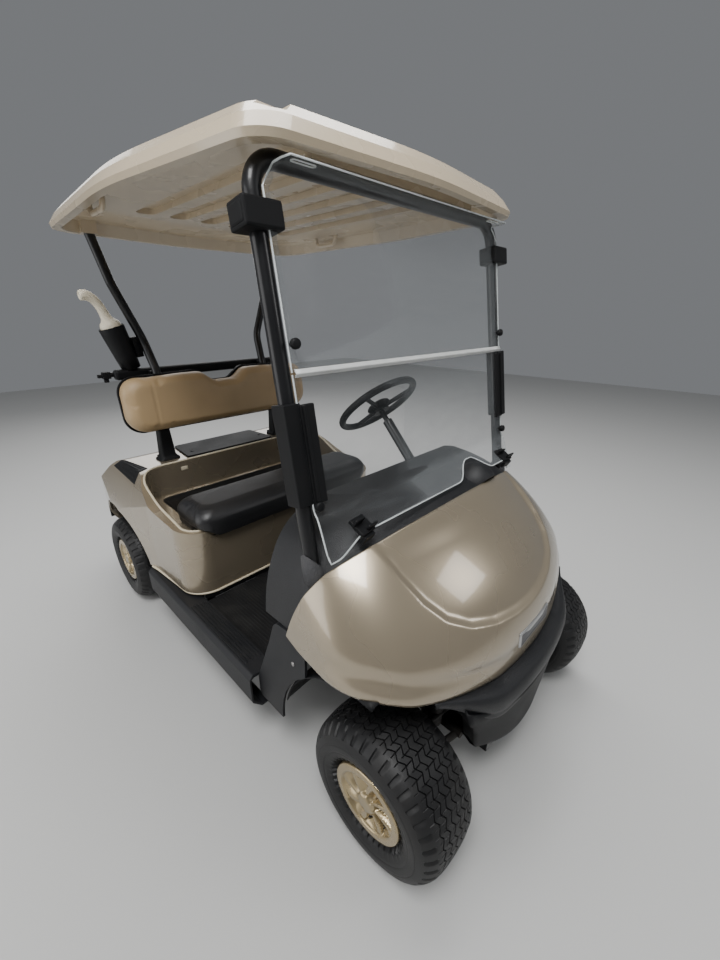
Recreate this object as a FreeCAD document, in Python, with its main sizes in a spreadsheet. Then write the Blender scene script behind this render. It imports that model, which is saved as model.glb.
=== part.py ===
import FreeCAD, Part
import math
import operator
import os
import Sketcher

# A two-seat electric golf cart with a roof, in millimetres. The nose faces -Y, the driver sits
# on the +X side, and the origin is on the ground under the middle of the cart.

doc = FreeCAD.newDocument("golf_cart")
sheet = doc.addObject("Spreadsheet::Sheet", "Sizes")

# Driving sizes, by part of the cart.
SIZES = {
    # Overall
    "overall_length": 2328, "overall_width": 1196, "overall_height": 1790,
    # Running gear
    "wheelbase": 1670, "front_axle_y": -936, "tyre_radius": 222, "tyre_width": 214, "bead_radius": 103,
    "tyre_bulge": 12, "tread_crown": 9, "shoulder_width": 34, "front_half_track": 450,
    "rear_half_track": 489, "rim_width": 150, "rim_wall": 4, "rim_flange": 9, "hub_radius": 34,
    "hub_length": 60, "spindle_radius": 15, "bearing_gap": 0.05, "cover_wall": 4, "cover_spokes": 8,
    "cover_inset": 12, "cover_hub_radius": 26, "cover_window_outer": 88, "cover_window_angle": 30,
    "cover_lean": 14, "cover_facet_depth": 5,
    "kingpin_offset": 134, "kingpin_radius": 17, "kingpin_height": 118, "kingpin_clearance": 0.3,
    "steer_arm_length": 120, "steer_arm_drop": 62, "tie_rod_radius": 8, "tie_rod_eye": 17,
    # Chassis
    "rail_width": 50, "rail_height": 60, "rail_half_spacing": 150, "rail_low": 188, "rail_kick": 165,
    "kick_run": 90, "kick_start": 285, "rail_front": 150, "rail_end_gap": 100, "side_rail_x": 455,
    "side_rail_width": 40,
    "cross_width": 50, "arm_spread": 62, "ball_radius": 18, "shock_radius": 26, "shock_rod_radius": 9,
    "shock_top_z": 470, "shock_top_x": 205, "axle_tube_radius": 32, "diff_radius": 92,
    "drum_radius": 70, "drum_width": 62, "motor_radius": 78, "motor_length": 200, "motor_ahead": 165,
    "motor_rise": 12, "leaf_width": 50, "leaf_height": 22, "leaf_reach": 290, "leaf_x": 300,
    "battery_length": 780, "battery_depth": 294, "battery_height": 215, "battery_gap": 24,
    # Floor
    "floor_z": 300, "floor_thick": 12, "floor_half_width": 490, "toe_start": 430, "toe_end": 255,
    "toe_rise": 210, "rocker_inset": 10, "rocker_low": 168, "rocker_top": 322, "rocker_front": 480,
    "rocker_rear": 330, "leg_wall": 8, "leg_outer": 549, "front_arch": 352, "rear_arch": 322,
    # Front body
    "shell_wall": 6, "cowl_low": 500, "cowl_back": 420, "dash_back": 395, "dash_low": 618,
    "dash_tuck": 14,
    "panel_half": 352, "panel_low": 640, "panel_depth": 5, "dome_x": 190, "dome_y": 176, "dome_z": 862,
    "dome_radius": 72, "bumper_reach": 228, "bumper_low": 452, "bumper_half": 440, "fascia_low": 215,
    "fascia_half": 215, "fascia_reach": 205,
    # Rear body
    "seat_front": 709, "body_low": 323, "well_half": 505, "well_back": 200, "rail_top": 612,
    "deck_top": 740, "body_front_half": 532, "body_hip_half": 592, "body_tail_half": 545,
    "body_wall": 7, "body_tail_gap": 112, "ledge_z": 585, "bay_half": 430, "bay_front": 60,
    "bay_back": 60, "bag_floor": 430, "bag_half": 400, "bag_front": 95, "bag_wall": 8,
    "rear_bumper_high": 470, "rear_bumper_depth": 60, "rear_bumper_low": 340,
    "deck_panel_half": 250, "deck_panel_depth": 218, "deck_panel_thick": 8,
    # Seat
    "cushion_half": 478, "cushion_depth": 195, "cushion_height": 112, "cushion_round": 42,
    "seat_gap": 0.3, "back_half": 490, "back_low": 893, "back_high": 1152, "back_dip": 50,
    "back_thick": 85, "back_y": 222, "back_shell": 14, "back_lean": 5, "support_x": 322,
    "support_tube": 22,
    # Roof
    "roof_low": 1704, "roof_front": 268, "roof_rear": 106, "roof_front_half": 512,
    "roof_rear_half": 566, "roof_side_slope": 44, "roof_wall": 7, "roof_lip": 26, "roof_crown": 14,
    "roof_gutter": 12, "channel_step": 124, "channel_width": 70, "channel_depth": 19, "outlet_x": 440,
    "grip_x": 500,
    "pillar_tube": 19, "pillar_base_x": 491, "pillar_base_z": 812, "pillar_base_y": 236,
    "pillar_top_y": 382, "pillar_foot_z": 700, "strut_tube": 19, "strut_low_x": 296, "strut_mid_y": 12,
    "strut_low_z": 1090, "strut_mid_z": 1296, "strut_top_x": 430, "strut_top_y": 0, "strut_pad": 28,
    # Windscreen
    "glass_thick": 6, "glass_half": 478, "glass_crease": 961, "foot_ahead": 156, "foot_low": 905,
    "glass_mid": 1284, "glass_high": 1630, "head_flange": 48,
    # Controls
    "wheel_x": 240, "steer_hub_y": 677, "steer_hub_z": 1052, "steer_rim_radius": 168,
    "steer_grip_radius": 14, "column_angle": 47.5, "column_length": 330, "column_radius": 20,
    "shaft_radius": 11, "shaft_gap": 1.0, "pedal_width": 80, "pedal_height": 70, "pedal_along": 95,
    "rail_z": 1145, "bag_rail_half": 470, "bag_rail_tube": 11, "rail_stand_off": 80, "holder_radius": 54,
    "holder_height": 190, "holder_wall": 3, "bottle_radius": 44, "bottle_height": 235,
}

for row, (name, value) in enumerate(SIZES.items(), 1):
    sheet.set(f"A{row}", name)
    sheet.set(f"B{row}", str(value))
    sheet.setAlias(f"B{row}", name)
doc.recompute()


class Size(float):
    """A number that also carries its formula on the sheet, through sums and products."""

    def __new__(cls, value, formula):
        size = super().__new__(cls, value)
        size.formula = formula
        return size

    def __neg__(self):
        return Size(-float(self), f"(-{self.formula})")

    def __abs__(self):
        return -self if self < 0 else self

    def __add__(self, other):
        return combined(self, other, operator.add, "+")

    def __radd__(self, other):
        return combined(other, self, operator.add, "+")

    def __sub__(self, other):
        return combined(self, other, operator.sub, "-")

    def __rsub__(self, other):
        return combined(other, self, operator.sub, "-")

    def __mul__(self, other):
        return combined(self, other, operator.mul, "*")

    def __rmul__(self, other):
        return combined(other, self, operator.mul, "*")

    def __truediv__(self, other):
        return combined(self, other, operator.truediv, "/")


def formula(number):
    """The sheet formula of a number, or the number itself."""
    return getattr(number, "formula", repr(float(number)))


def combined(left, right, work, sign):
    """The value and the formula of two numbers joined by a sign."""
    value = work(float(left), float(right))
    return Size(value, f"({formula(left)} {sign} {formula(right)})")


class Sizes:
    """The sheet's cells by name: size.wheelbase and so on."""

    def __getattr__(self, name):
        return Size(sheet.get(name), f"Sizes.{name}")


size = Sizes()
front_axle = size.front_axle_y
rear_axle = front_axle + size.wheelbase
seat_front = rear_axle - size.seat_front
tail_y = front_axle - size.bumper_reach + size.overall_length
SIDES = (("left", 1), ("right", -1))
parts = {}


def vec(x, y, z):
    return FreeCAD.Vector(x, y, z)


def keep(piece):
    """Name an object of the document as a sub-part."""
    parts[piece.Label] = piece
    return piece


def computed(label, shape):
    """A computed solid as a sub-part of the document."""
    piece = doc.addObject("Part::Feature", label)
    piece.Shape = shape
    piece.Placement = shape.Placement
    return keep(piece)


def bind(piece, path, number):
    """Tie a property to its formula on the sheet, or set it where it is a plain number."""
    if isinstance(number, Size):
        piece.setExpression(path, number.formula)
    elif hasattr(piece, path):
        setattr(piece, path, number)


def place(piece, spot, turn=None):
    """Put a piece at a spot, with a turn about it."""
    piece.Placement = FreeCAD.Placement(vec(*spot), turn or FreeCAD.Rotation())
    for axis, number in zip("xyz", spot):
        bind(piece, f"Placement.Base.{axis}", number)
    return piece


def cuboid(name, low, high):
    """A box object between two corners."""
    piece = doc.addObject("Part::Box", name)
    for path, start, end in zip(("Length", "Width", "Height"), low, high):
        bind(piece, path, end - start)
    return place(piece, low)


def bar(name, start, end, radius):
    """A round bar object between two points."""
    piece = doc.addObject("Part::Cylinder", name)
    run = vec(*end).sub(vec(*start))
    spans = [b - a for a, b in zip(start, end) if a != b]
    bind(piece, "Radius", radius)
    bind(piece, "Height", abs(spans[0]) if len(spans) == 1 else run.Length)
    return place(piece, start, FreeCAD.Rotation(vec(0, 0, 1), run))


def merged(label, pieces):
    """One object of pieces that touch or overlap."""
    whole = doc.addObject("Part::MultiFuse", label)
    whole.Shapes = pieces
    whole.Refine = True
    return whole


def carved(label, base, tool):
    """One object less another."""
    rest = doc.addObject("Part::Cut", label)
    rest.Base = base
    rest.Tool = tool
    return rest


def gathered(label, pieces):
    """Pieces on both sides of the cart as one object."""
    group = doc.addObject("Part::Compound", label)
    group.Links = pieces
    return group


ROLES = {"xy": "XY_Plane", "xz": "XZ_Plane", "yz": "YZ_Plane"}


def outline(body, plane, corners, level=0):
    """A sketch of straight edges at a level, each corner held by its two formulas."""
    section = body.newObject("Sketcher::SketchObject", f"{body.Name}_outline")
    base = next(item for item in body.Origin.OriginFeatures if item.Role == ROLES[plane])
    section.AttachmentSupport = [(base, "")]
    section.MapMode = "FlatFace"
    offset = -level if plane == "xz" else level
    section.AttachmentOffset = FreeCAD.Placement(vec(0, 0, offset), FreeCAD.Rotation())
    bind(section, "AttachmentOffset.Base.z", offset)
    count = len(corners)
    points = [vec(corner[0], corner[1], 0) for corner in corners]
    section.addGeometry([Part.LineSegment(points[index], points[(index + 1) % count])
                         for index in range(count)], False)
    links = [Sketcher.Constraint("Coincident", index, 2, (index + 1) % count, 1)
             for index in range(count)]
    numbers = []
    for index, corner in enumerate(corners):
        links.append(Sketcher.Constraint("DistanceX", -1, 1, index, 1, float(corner[0])))
        links.append(Sketcher.Constraint("DistanceY", -1, 1, index, 1, float(corner[1])))
        numbers += corner[:2]
    section.addConstraint(links)
    for index, number in enumerate(numbers, count):
        bind(section, f"Constraints[{index}]", number)
    return section


def padded(label, plane, corners, low, high):
    """A body padded from an outline of (u, v, radius) corners, between two levels."""
    body = doc.addObject("PartDesign::Body", label)
    last = body.newObject("PartDesign::Pad", f"{label}_pad")
    last.Profile = outline(body, plane, corners, high if plane == "xz" else low)
    bind(last, "Length", high - low)
    drop = {"xy": lambda p: (p.x, p.y), "xz": lambda p: (p.x, p.z), "yz": lambda p: (p.y, p.z)}[plane]
    for radius in sorted({corner[2] for corner in corners if corner[2] > 0}):
        doc.recompute()
        spots = [(u, v) for u, v, bend in corners if bend == radius]
        edges = []
        for index, edge in enumerate(last.Shape.Edges, 1):
            ends = [drop(vertex.Point) for vertex in edge.Vertexes]
            if any(max(math.dist(spot, end) for end in ends) < 0.001 for spot in spots):
                edges.append(f"Edge{index}")
        bend = body.newObject("PartDesign::Fillet", f"{label}_bend")
        bend.Base = (last, edges)
        bind(bend, "Radius", radius)
        last = bend
    return body


def turned(label, outlines, spot, side):
    """A body turned about its X axis: one revolution per outline of (along, radius) points."""
    body = doc.addObject("PartDesign::Body", label)
    for corners in outlines:
        turn = body.newObject("PartDesign::Revolution", f"{label}_turn")
        turn.Profile = outline(body, "xy", corners)
        turn.ReferenceAxis = (turn.Profile[0], ["H_Axis"])
        turn.Angle = 360
    return place(body, spot, FreeCAD.Rotation(vec(0, 0, 1), 0 if side > 0 else 180))


PLANES = {
    "xy": lambda u, v, level: vec(u, v, level),
    "xz": lambda u, v, level: vec(u, level, v),
    "yz": lambda u, v, level: vec(level, u, v),
}
NORMALS = {"xy": vec(0, 0, 1), "xz": vec(0, 1, 0), "yz": vec(1, 0, 0)}


def rounded(corners, plane, level):
    """A closed wire through the corners (u, v, radius), each turned by a tangent arc."""
    place = PLANES[plane]
    points = [place(u, v, level) for u, v, radius in corners]
    count = len(points)
    starts = []
    ends = []
    arcs = []
    for index, point in enumerate(points):
        radius = corners[index][2]
        back = points[index - 1].sub(point)
        ahead = points[(index + 1) % count].sub(point)
        back.normalize()
        ahead.normalize()
        angle = back.getAngle(ahead)
        if radius == 0 or abs(angle - math.pi) < 1e-6:
            starts.append(point)
            ends.append(point)
            arcs.append(None)
            continue
        reach = radius / math.tan(angle / 2)
        first = point.add(vec(*(back * reach)))
        last = point.add(vec(*(ahead * reach)))
        bisector = back.add(ahead)
        bisector.normalize()
        centre = point.add(bisector * (radius / math.sin(angle / 2)))
        middle = centre.sub(bisector * radius)
        starts.append(first)
        ends.append(last)
        arcs.append(Part.Arc(first, middle, last))
    edges = []
    for index in range(count):
        if arcs[index] is not None:
            edges.append(arcs[index].toShape())
        here = ends[index]
        there = starts[(index + 1) % count]
        if here.distanceToPoint(there) > 1e-6:
            edges.append(Part.LineSegment(here, there).toShape())
    return Part.Wire(edges)


def prism(corners, plane, low, high):
    """A solid from a rounded outline, between two levels along the plane's normal."""
    face = Part.Face(rounded(corners, plane, low))
    return face.extrude(NORMALS[plane] * (high - low))


def both_sides(corners):
    """Mirror a half outline given on the +X side, from front to back, to a whole one."""
    return corners + [(-u, v, radius) for u, v, radius in reversed(corners) if u > 0]


def box(low, high):
    """A box between two corners."""
    span = [b - a for a, b in zip(low, high)]
    return Part.makeBox(span[0], span[1], span[2], vec(*low))


def rod(start, end, radius):
    """A round bar between two points."""
    run = vec(*end).sub(vec(*start))
    return Part.makeCylinder(radius, run.Length, vec(*start), run)


def fuse(shapes):
    """One solid of several that touch or overlap."""
    whole = shapes[0].fuse(list(shapes[1:])) if len(shapes) > 1 else shapes[0]
    return whole.removeSplitter()


def bent_tube(points, bends, radius, wall=0):
    """A tube along straight runs joined by tangent arcs; points are tuples."""
    nodes = [vec(*point) for point in points]
    edges = []
    here = nodes[0]
    for index in range(1, len(nodes) - 1):
        point = nodes[index]
        back = nodes[index - 1].sub(point)
        ahead = nodes[index + 1].sub(point)
        back.normalize()
        ahead.normalize()
        angle = back.getAngle(ahead)
        reach = bends[index - 1] / math.tan(angle / 2)
        bisector = back.add(ahead)
        bisector.normalize()
        first = point.add(back * reach)
        last = point.add(ahead * reach)
        centre = point.add(bisector * (bends[index - 1] / math.sin(angle / 2)))
        middle = centre.sub(bisector * bends[index - 1])
        edges.append(Part.LineSegment(here, first).toShape())
        edges.append(Part.Arc(first, middle, last).toShape())
        here = last
    edges.append(Part.LineSegment(here, nodes[-1]).toShape())
    path = Part.Wire(edges)
    run = nodes[1].sub(nodes[0])
    ring = Part.Wire([Part.Circle(nodes[0], run, radius).toShape()])
    return path.makePipeShell([ring], True, False)


def revolved(profile, centre, axis_x=1):
    """Turn a closed outline of (along, radius) points about a line along X."""
    points = [vec(centre[0] + axis_x * along, centre[1], centre[2] + radius)
              for along, radius in profile]
    wire = Part.makePolygon(points + [points[0]])
    return Part.Face(wire).revolve(vec(*centre), vec(1, 0, 0), 360)


# Wheels: tyre, rim and cover turn together.

def both_ways(half):
    """A section symmetric about the wheel's middle, from its outer half of (along, radius)."""
    return half + [(-along, radius) for along, radius in reversed(half) if along > 0]


def tyre_section():
    """The tyre's section: crowned tread, round shoulders, bulged walls and beads."""
    half = size.tyre_width / 2
    edge = half - size.shoulder_width
    top = size.tyre_radius
    bead = size.bead_radius
    seat = size.rim_width / 2 - size.rim_wall - 0.3
    return both_ways([
        (0, top), (edge * 0.7, top - size.tread_crown * 0.4), (edge, top - size.tread_crown),
        (half - 10, top - size.shoulder_width * 0.75), (half, top - size.shoulder_width * 1.7),
        (half - 2, bead + 46), (half - size.tyre_bulge, bead + 24), (seat, bead + 10),
        (seat, bead), (seat - 10, bead), (half - 24, bead + 40), (half - 22, top - 58),
        (edge, top - 28), (0, top - 22),
    ])


def rim_sections():
    """The rim's barrel with its drop centre, its disc and its hub."""
    half = size.rim_width / 2
    wall = size.rim_wall
    bead = size.bead_radius - 0.3
    lip = size.bead_radius + size.rim_flange
    drop = bead - 22
    bore = size.spindle_radius + size.bearing_gap
    barrel = both_ways([
        (half - 38, drop), (half - 24, bead), (half - wall, bead), (half - wall, lip), (half, lip),
        (half, bead - wall), (half - 26, bead - wall), (half - 40, drop - wall),
    ])
    web = [(20, bore), (20, drop - wall + 1), (25, drop - wall + 1), (25, bore)]
    back = 20 - size.hub_length / 2
    hub = [(back, bore), (back, size.hub_radius), (23, size.hub_radius), (23, bore)]
    return [barrel, web, hub]


def cover_section():
    """The moulded cover: a flat ring that seats on the rim, a dished face and a hub cap."""
    face = size.tyre_width / 2 - size.cover_inset
    seat = size.rim_width / 2 + 0.3
    back = face - size.cover_wall
    outer = size.bead_radius + size.rim_flange - 1
    hub = size.cover_hub_radius
    return [
        (seat, outer), (seat, outer - 10), (back - 4, outer - 14), (back, hub + 20), (back + 3, hub),
        (back + 3, 0), (face + 3, 0), (face + 3, hub), (face, hub + 20), (face - 4, outer - 12),
        (seat + size.cover_wall, outer),
    ]


def polar(radius, angle):
    """A point of the cover's face at a radius and an angle from its spoke line."""
    return (radius * math.cos(math.radians(angle)), radius * math.sin(math.radians(angle)))


def make_cover(label, spot, side):
    """A wheel cover whose windows and facets repeat round the hub, each leaning one way."""
    cover = turned(label, [cover_section()], spot, side)
    half = size.cover_window_angle / 2
    inner = size.cover_hub_radius + 12
    outer = size.cover_window_outer
    lean = size.cover_lean
    window = [polar(inner, -half * 0.4 - lean), polar((inner + outer) / 2, -half * 0.9 - lean / 2),
              polar(outer, -half * 0.6), polar(outer, half * 0.5), polar((inner + outer) / 2, half * 0.2)]
    facet = [polar(inner + 4, half * 0.8 - lean), polar(outer + 3, half * 0.95), polar(outer + 3, half * 2.2)]
    cuts = []
    for name, corners, level in (("window", window, 0), ("facet", facet, size.cover_facet_depth)):
        cut = cover.newObject("PartDesign::Pocket", f"{label}_{name}")
        face = size.tyre_width / 2 - size.cover_inset
        cut.Profile = outline(cover, "yz", corners, face - level if level else size.rim_width / 2)
        cut.Type = "ThroughAll"
        cut.Reversed = True
        cuts.append(cut)
    ring = cover.newObject("PartDesign::PolarPattern", f"{label}_ring")
    ring.Originals = cuts
    ring.Axis = (next(item for item in cover.Origin.OriginFeatures if item.Role == "X_Axis"), [""])
    ring.Angle = 360
    bind(ring, "Occurrences", size.cover_spokes)
    cover.Tip = ring
    return cover


for name, side in SIDES:
    for axle, half_track, y in (("front", size.front_half_track, front_axle),
                                ("rear", size.rear_half_track, rear_axle)):
        spot = (side * half_track, y, size.tyre_radius)
        keep(turned(f"tyre_{axle}_{name}", [tyre_section()], spot, side))
        keep(turned(f"rim_{axle}_{name}", rim_sections(), spot, side))
        keep(make_cover(f"wheel_cover_{axle}_{name}", spot, side))


# Steering knuckles: kingpin, spindle and steering arm, and the tie rod that joins them.

hub_z = size.tyre_radius
kingpin_x = size.front_half_track - size.kingpin_offset
kingpin_low = hub_z - size.kingpin_height / 2
arm_z = hub_z - size.steer_arm_drop
arm_eye_y = front_axle + size.steer_arm_length
for name, side in SIDES:
    label = f"knuckle_{name}"
    inner_x = side * (kingpin_x + 2)
    end_x = side * (size.front_half_track + 20)
    boss_x = side * (size.front_half_track - size.hub_length / 2 + 14)
    eye = (side * kingpin_x, arm_eye_y, arm_z - 9)
    keep(merged(label, [
        bar(f"{label}_pin", (side * kingpin_x, front_axle, kingpin_low),
            (side * kingpin_x, front_axle, kingpin_low + size.kingpin_height), size.kingpin_radius),
        bar(f"{label}_spindle", (inner_x, front_axle, hub_z), (end_x, front_axle, hub_z),
            size.spindle_radius),
        bar(f"{label}_boss", (inner_x, front_axle, hub_z), (boss_x, front_axle, hub_z), 28),
        bar(f"{label}_arm", (side * kingpin_x, front_axle + 4, kingpin_low + 14),
            (side * kingpin_x, arm_eye_y, arm_z), 9),
        bar(f"{label}_eye", eye, (eye[0], eye[1], eye[2] + 18), size.tie_rod_eye),
    ]))

rod_z = arm_z - 9 - 0.3 - size.tie_rod_eye / 2
rod_pieces = [bar("tie_rod_bar", (-kingpin_x, arm_eye_y, rod_z), (kingpin_x, arm_eye_y, rod_z),
                  size.tie_rod_radius)]
for name, side in SIDES:
    low = rod_z - size.tie_rod_eye / 2
    rod_pieces.append(bar(f"tie_rod_eye_{name}", (side * kingpin_x, arm_eye_y, low),
                          (side * kingpin_x, arm_eye_y, low + size.tie_rod_eye), size.tie_rod_eye))
keep(merged("tie_rod", rod_pieces))


# Frame: two main rails that rise over the rear axle, cross members and outriggers.

rail_low = size.rail_low
rail_high = rail_low + size.rail_height
rise = size.rail_kick
rail_end = tail_y - size.rail_end_gap
kick_shift = size.rail_height * math.tan(math.atan2(rise, size.kick_run) / 2)
kick_y = rear_axle - size.kick_start
rail_side = [
    (front_axle - size.rail_front, rail_low, 0), (kick_y, rail_low, 60),
    (kick_y + size.kick_run, rail_low + rise, 60), (rail_end, rail_low + rise, 0),
    (rail_end, rail_high + rise, 0), (kick_y + size.kick_run - kick_shift, rail_high + rise, 60),
    (kick_y - kick_shift, rail_high, 10), (front_axle - size.rail_front, rail_high, 0),
]
outer_x = size.side_rail_x
side_low = rail_low + 10
sill_front = front_axle + size.rocker_front
members = []
for name, side in SIDES:
    x = side * size.rail_half_spacing
    members.append(padded(f"rail_{name}", "yz", rail_side, x - size.rail_width / 2, x + size.rail_width / 2))
    members.append(cuboid(f"tower_{name}", (x - 25, front_axle - 45, rail_high - 5),
                          (x + 25, front_axle + 45, size.shock_top_z + 20)))
    x = side * outer_x
    members.append(cuboid(f"sill_{name}", (x - size.side_rail_width / 2, sill_front + 10, side_low),
                          (x + size.side_rail_width / 2, kick_y - 20, rail_high)))
    members.append(cuboid(f"seat_post_{name}", (x - 18, seat_front + 30, rail_high - 5),
                          (x + 18, seat_front + 58, size.ledge_z - size.body_wall - 0.3)))

# Cross members: name, half length, front face, depth, bottom, height.
mid = size.rail_half_spacing
far = size.leaf_x + 25
CROSSES = (
    ("nose", mid, front_axle - size.rail_front, size.cross_width, rail_low, size.rail_height),
    ("tower", mid, front_axle - 25, 50, size.shock_top_z - 30, 50),
    ("toe", outer_x, sill_front + 20, size.cross_width, side_low, rail_high - side_low),
    ("seat", outer_x, front_axle + 720, size.cross_width, side_low, rail_high - side_low),
    ("kick", outer_x, kick_y - 80, size.cross_width, side_low, rail_high - side_low),
    ("spring", far, rear_axle - size.leaf_reach - 25, 50, rail_low + rise * 0.55, size.rail_height),
    ("tail", far, rail_end - 50, 50, rail_low + rise, size.rail_height),
)
for name, half, front, depth, low, height in CROSSES:
    members.append(cuboid(f"cross_{name}", (-half, front, low), (half, front + depth, low + height)))
keep(merged("frame", members))


# Front suspension: a lower arm and a spring leg on each side.

legs = []
for name, side in SIDES:
    ball = (side * kingpin_x, front_axle, hub_z - size.kingpin_height / 2 - size.kingpin_clearance)
    top = ball[2]
    cap_z = hub_z + size.kingpin_height / 2 + size.kingpin_clearance
    cap = Part.makeCylinder(size.ball_radius, 21, vec(ball[0], ball[1], cap_z))
    pad = Part.makeCylinder(size.ball_radius, 36, vec(ball[0], ball[1], top - 36))
    rods = []
    rail_face = size.rail_half_spacing + size.rail_width / 2 + 0.3
    for reach, height, bush in ((size.arm_spread, rail_low + 20, 15), (32, cap_z + 20, 12)):
        bush_x = side * (rail_face + bush)
        rods.append(rod((bush_x, front_axle - reach - 12, height),
                        (bush_x, front_axle + reach + 12, height), bush))
        tip = top - 22 if bush == 15 else cap_z + 10
        for end in (-1, 1):
            rods.append(rod((bush_x, front_axle + end * reach, height),
                            (ball[0], ball[1] + end * 5, tip), bush - 4))
    bridge = rod((side * 262, front_axle - 40, top + 8), (side * 262, front_axle + 40, top + 8), 9)
    leg_foot = (side * 262, front_axle, top + 8)
    leg_head = (side * size.shock_top_x, front_axle, size.shock_top_z)
    spring = rod(leg_foot, leg_head, size.shock_rod_radius)
    run = vec(*leg_head).sub(vec(*leg_foot))
    coil_low = vec(*leg_foot).add(run * 0.28)
    coil = Part.makeCylinder(size.shock_radius, run.Length * 0.58, coil_low, run)
    head = rod((side * rail_face, front_axle, size.shock_top_z),
               (side * (size.shock_top_x + 14), front_axle, size.shock_top_z), 12)
    legs.append(fuse([pad, cap] + rods + [bridge, spring, coil, head]))
computed("front_suspension", Part.makeCompound(legs))


# Rear axle with its differential and motor, leaf springs, batteries.

drum_out = size.rear_half_track - 20
drum_in = drum_out - size.drum_width
axle_half = [(0, size.axle_tube_radius), (drum_in, size.axle_tube_radius), (drum_in, size.drum_radius),
             (drum_out, size.drum_radius), (drum_out, size.spindle_radius),
             (size.rear_half_track + 20, size.spindle_radius), (size.rear_half_track + 20, 0)]
axle = revolved(axle_half + [(-along, radius) for along, radius in reversed(axle_half[1:])],
                (0, rear_axle, hub_z))
diff = rod((-65, rear_axle, hub_z), (25, rear_axle, hub_z), size.diff_radius)
diff = diff.makeFillet(24, [edge for edge in diff.Edges if edge.Closed])
motor_y = rear_axle - size.motor_ahead
motor = rod((20, motor_y, hub_z + size.motor_rise),
            (20 + size.motor_length, motor_y, hub_z + size.motor_rise),
            size.motor_radius)
gear_case = box((-60, motor_y - 50, hub_z - 50), (30, rear_axle, hub_z + 60))
computed("rear_axle", fuse([axle, diff, gear_case, motor]))

springs = []
leaf_z = hub_z + size.axle_tube_radius + 0.3
for name, side in SIDES:
    x = side * size.leaf_x
    side_view = [
        (rear_axle - size.leaf_reach, rail_low + rise * 0.55 - 24, 0),
        (rear_axle - 60, leaf_z + 6, 200), (rear_axle + 60, leaf_z + 6, 200),
        (rear_axle + size.leaf_reach, rail_low + rise - 44, 0),
        (rear_axle + size.leaf_reach, rail_low + rise - 44 + size.leaf_height, 0),
        (rear_axle + 60, leaf_z + 6 + size.leaf_height, 200),
        (rear_axle - 60, leaf_z + 6 + size.leaf_height, 200),
        (rear_axle - size.leaf_reach, rail_low + rise * 0.55 - 24 + size.leaf_height, 0),
    ]
    leaf = prism(side_view, "yz", x - size.leaf_width / 2, x + size.leaf_width / 2)
    seat = box((x - 30, rear_axle - 40, leaf_z), (x + 30, rear_axle + 40, leaf_z + 8))
    front_eye = rod((x - 25, rear_axle - size.leaf_reach, rail_low + rise * 0.55 - 14),
                    (x + 25, rear_axle - size.leaf_reach, rail_low + rise * 0.55 - 14), 13.7)
    shackle = box((x - 20, rear_axle + size.leaf_reach - 10, rail_low + rise - 40),
                  (x + 20, rear_axle + size.leaf_reach + 14, rail_low + rise - 0.3))
    springs.append(fuse([leaf, seat, front_eye, shackle]))
computed("rear_springs", Part.makeCompound(springs))

battery_front = seat_front + size.bay_front + size.battery_gap
tray_z = rail_high + 0.3
keep(cuboid("battery_pack", (-size.battery_length / 2, battery_front, tray_z),
            (size.battery_length / 2, battery_front + size.battery_depth, tray_z + size.battery_height)))


# Floor with its toe board, rocker panels and the leg panels below the cowl.

floor_low = size.floor_z - size.floor_thick
toe_y = front_axle + size.toe_start
toe_top_y = front_axle + size.toe_end
floor_side = [
    (seat_front - 1, floor_low, 0), (toe_y, floor_low, 50),
    (toe_top_y, floor_low + size.toe_rise, 0),
    (toe_top_y + 4, floor_low + size.toe_rise + size.floor_thick, 0),
    (toe_y + 6, size.floor_z, 50), (seat_front - 1, size.floor_z, 0),
]
floor_pieces = [padded("floor_deck", "yz", floor_side, -size.floor_half_width, size.floor_half_width)]
for name, side in SIDES:
    for line, x in (("inner", size.rail_half_spacing), ("outer", outer_x)):
        floor_pieces.append(cuboid(f"floor_rib_{line}_{name}",
                                   (side * x - 15, toe_y + 60, rail_high + 0.3),
                                   (side * x + 15, seat_front - 1, floor_low + 2)))
keep(merged("floor", floor_pieces))

rocker_front = front_axle + size.rocker_front
rocker_rear = rear_axle - size.rocker_rear
rockers = []
for name, side in SIDES:
    outer = size.body_hip_half - size.rocker_inset
    shell = [
        (outer - 34, size.rocker_low, 10), (outer, size.rocker_low + 40, 20),
        (outer, size.rocker_top - 16, 14), (outer - 14, size.rocker_top, 8),
        (size.floor_half_width + 0.3, size.floor_z + 10, 0), (size.floor_half_width + 0.3, size.floor_z, 0),
        (outer - 16, size.rocker_top - 12, 6), (outer - 6, size.rocker_top - 20, 6),
        (outer - 6, size.rocker_low + 42, 16), (outer - 36, size.rocker_low + 6, 6),
        (outer - 60, size.rocker_low + 6, 0), (outer - 60, size.rocker_low, 0),
    ]
    section = [(side * u, v, radius) for u, v, radius in shell]
    rockers.append(padded(f"rocker_{name}", "xz", section, rocker_front, rocker_rear))
keep(gathered("rocker_panels", rockers))

# Wheel arches, cut well past the sides.
beyond = size.overall_width
front_arch = rod((-beyond, front_axle, hub_z), (beyond, front_axle, hub_z), size.front_arch)
rear_arches = [rod((side * (size.bag_half - 50), rear_axle, hub_z), (side * beyond, rear_axle, hub_z),
                   size.rear_arch) for name, side in SIDES]

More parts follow.
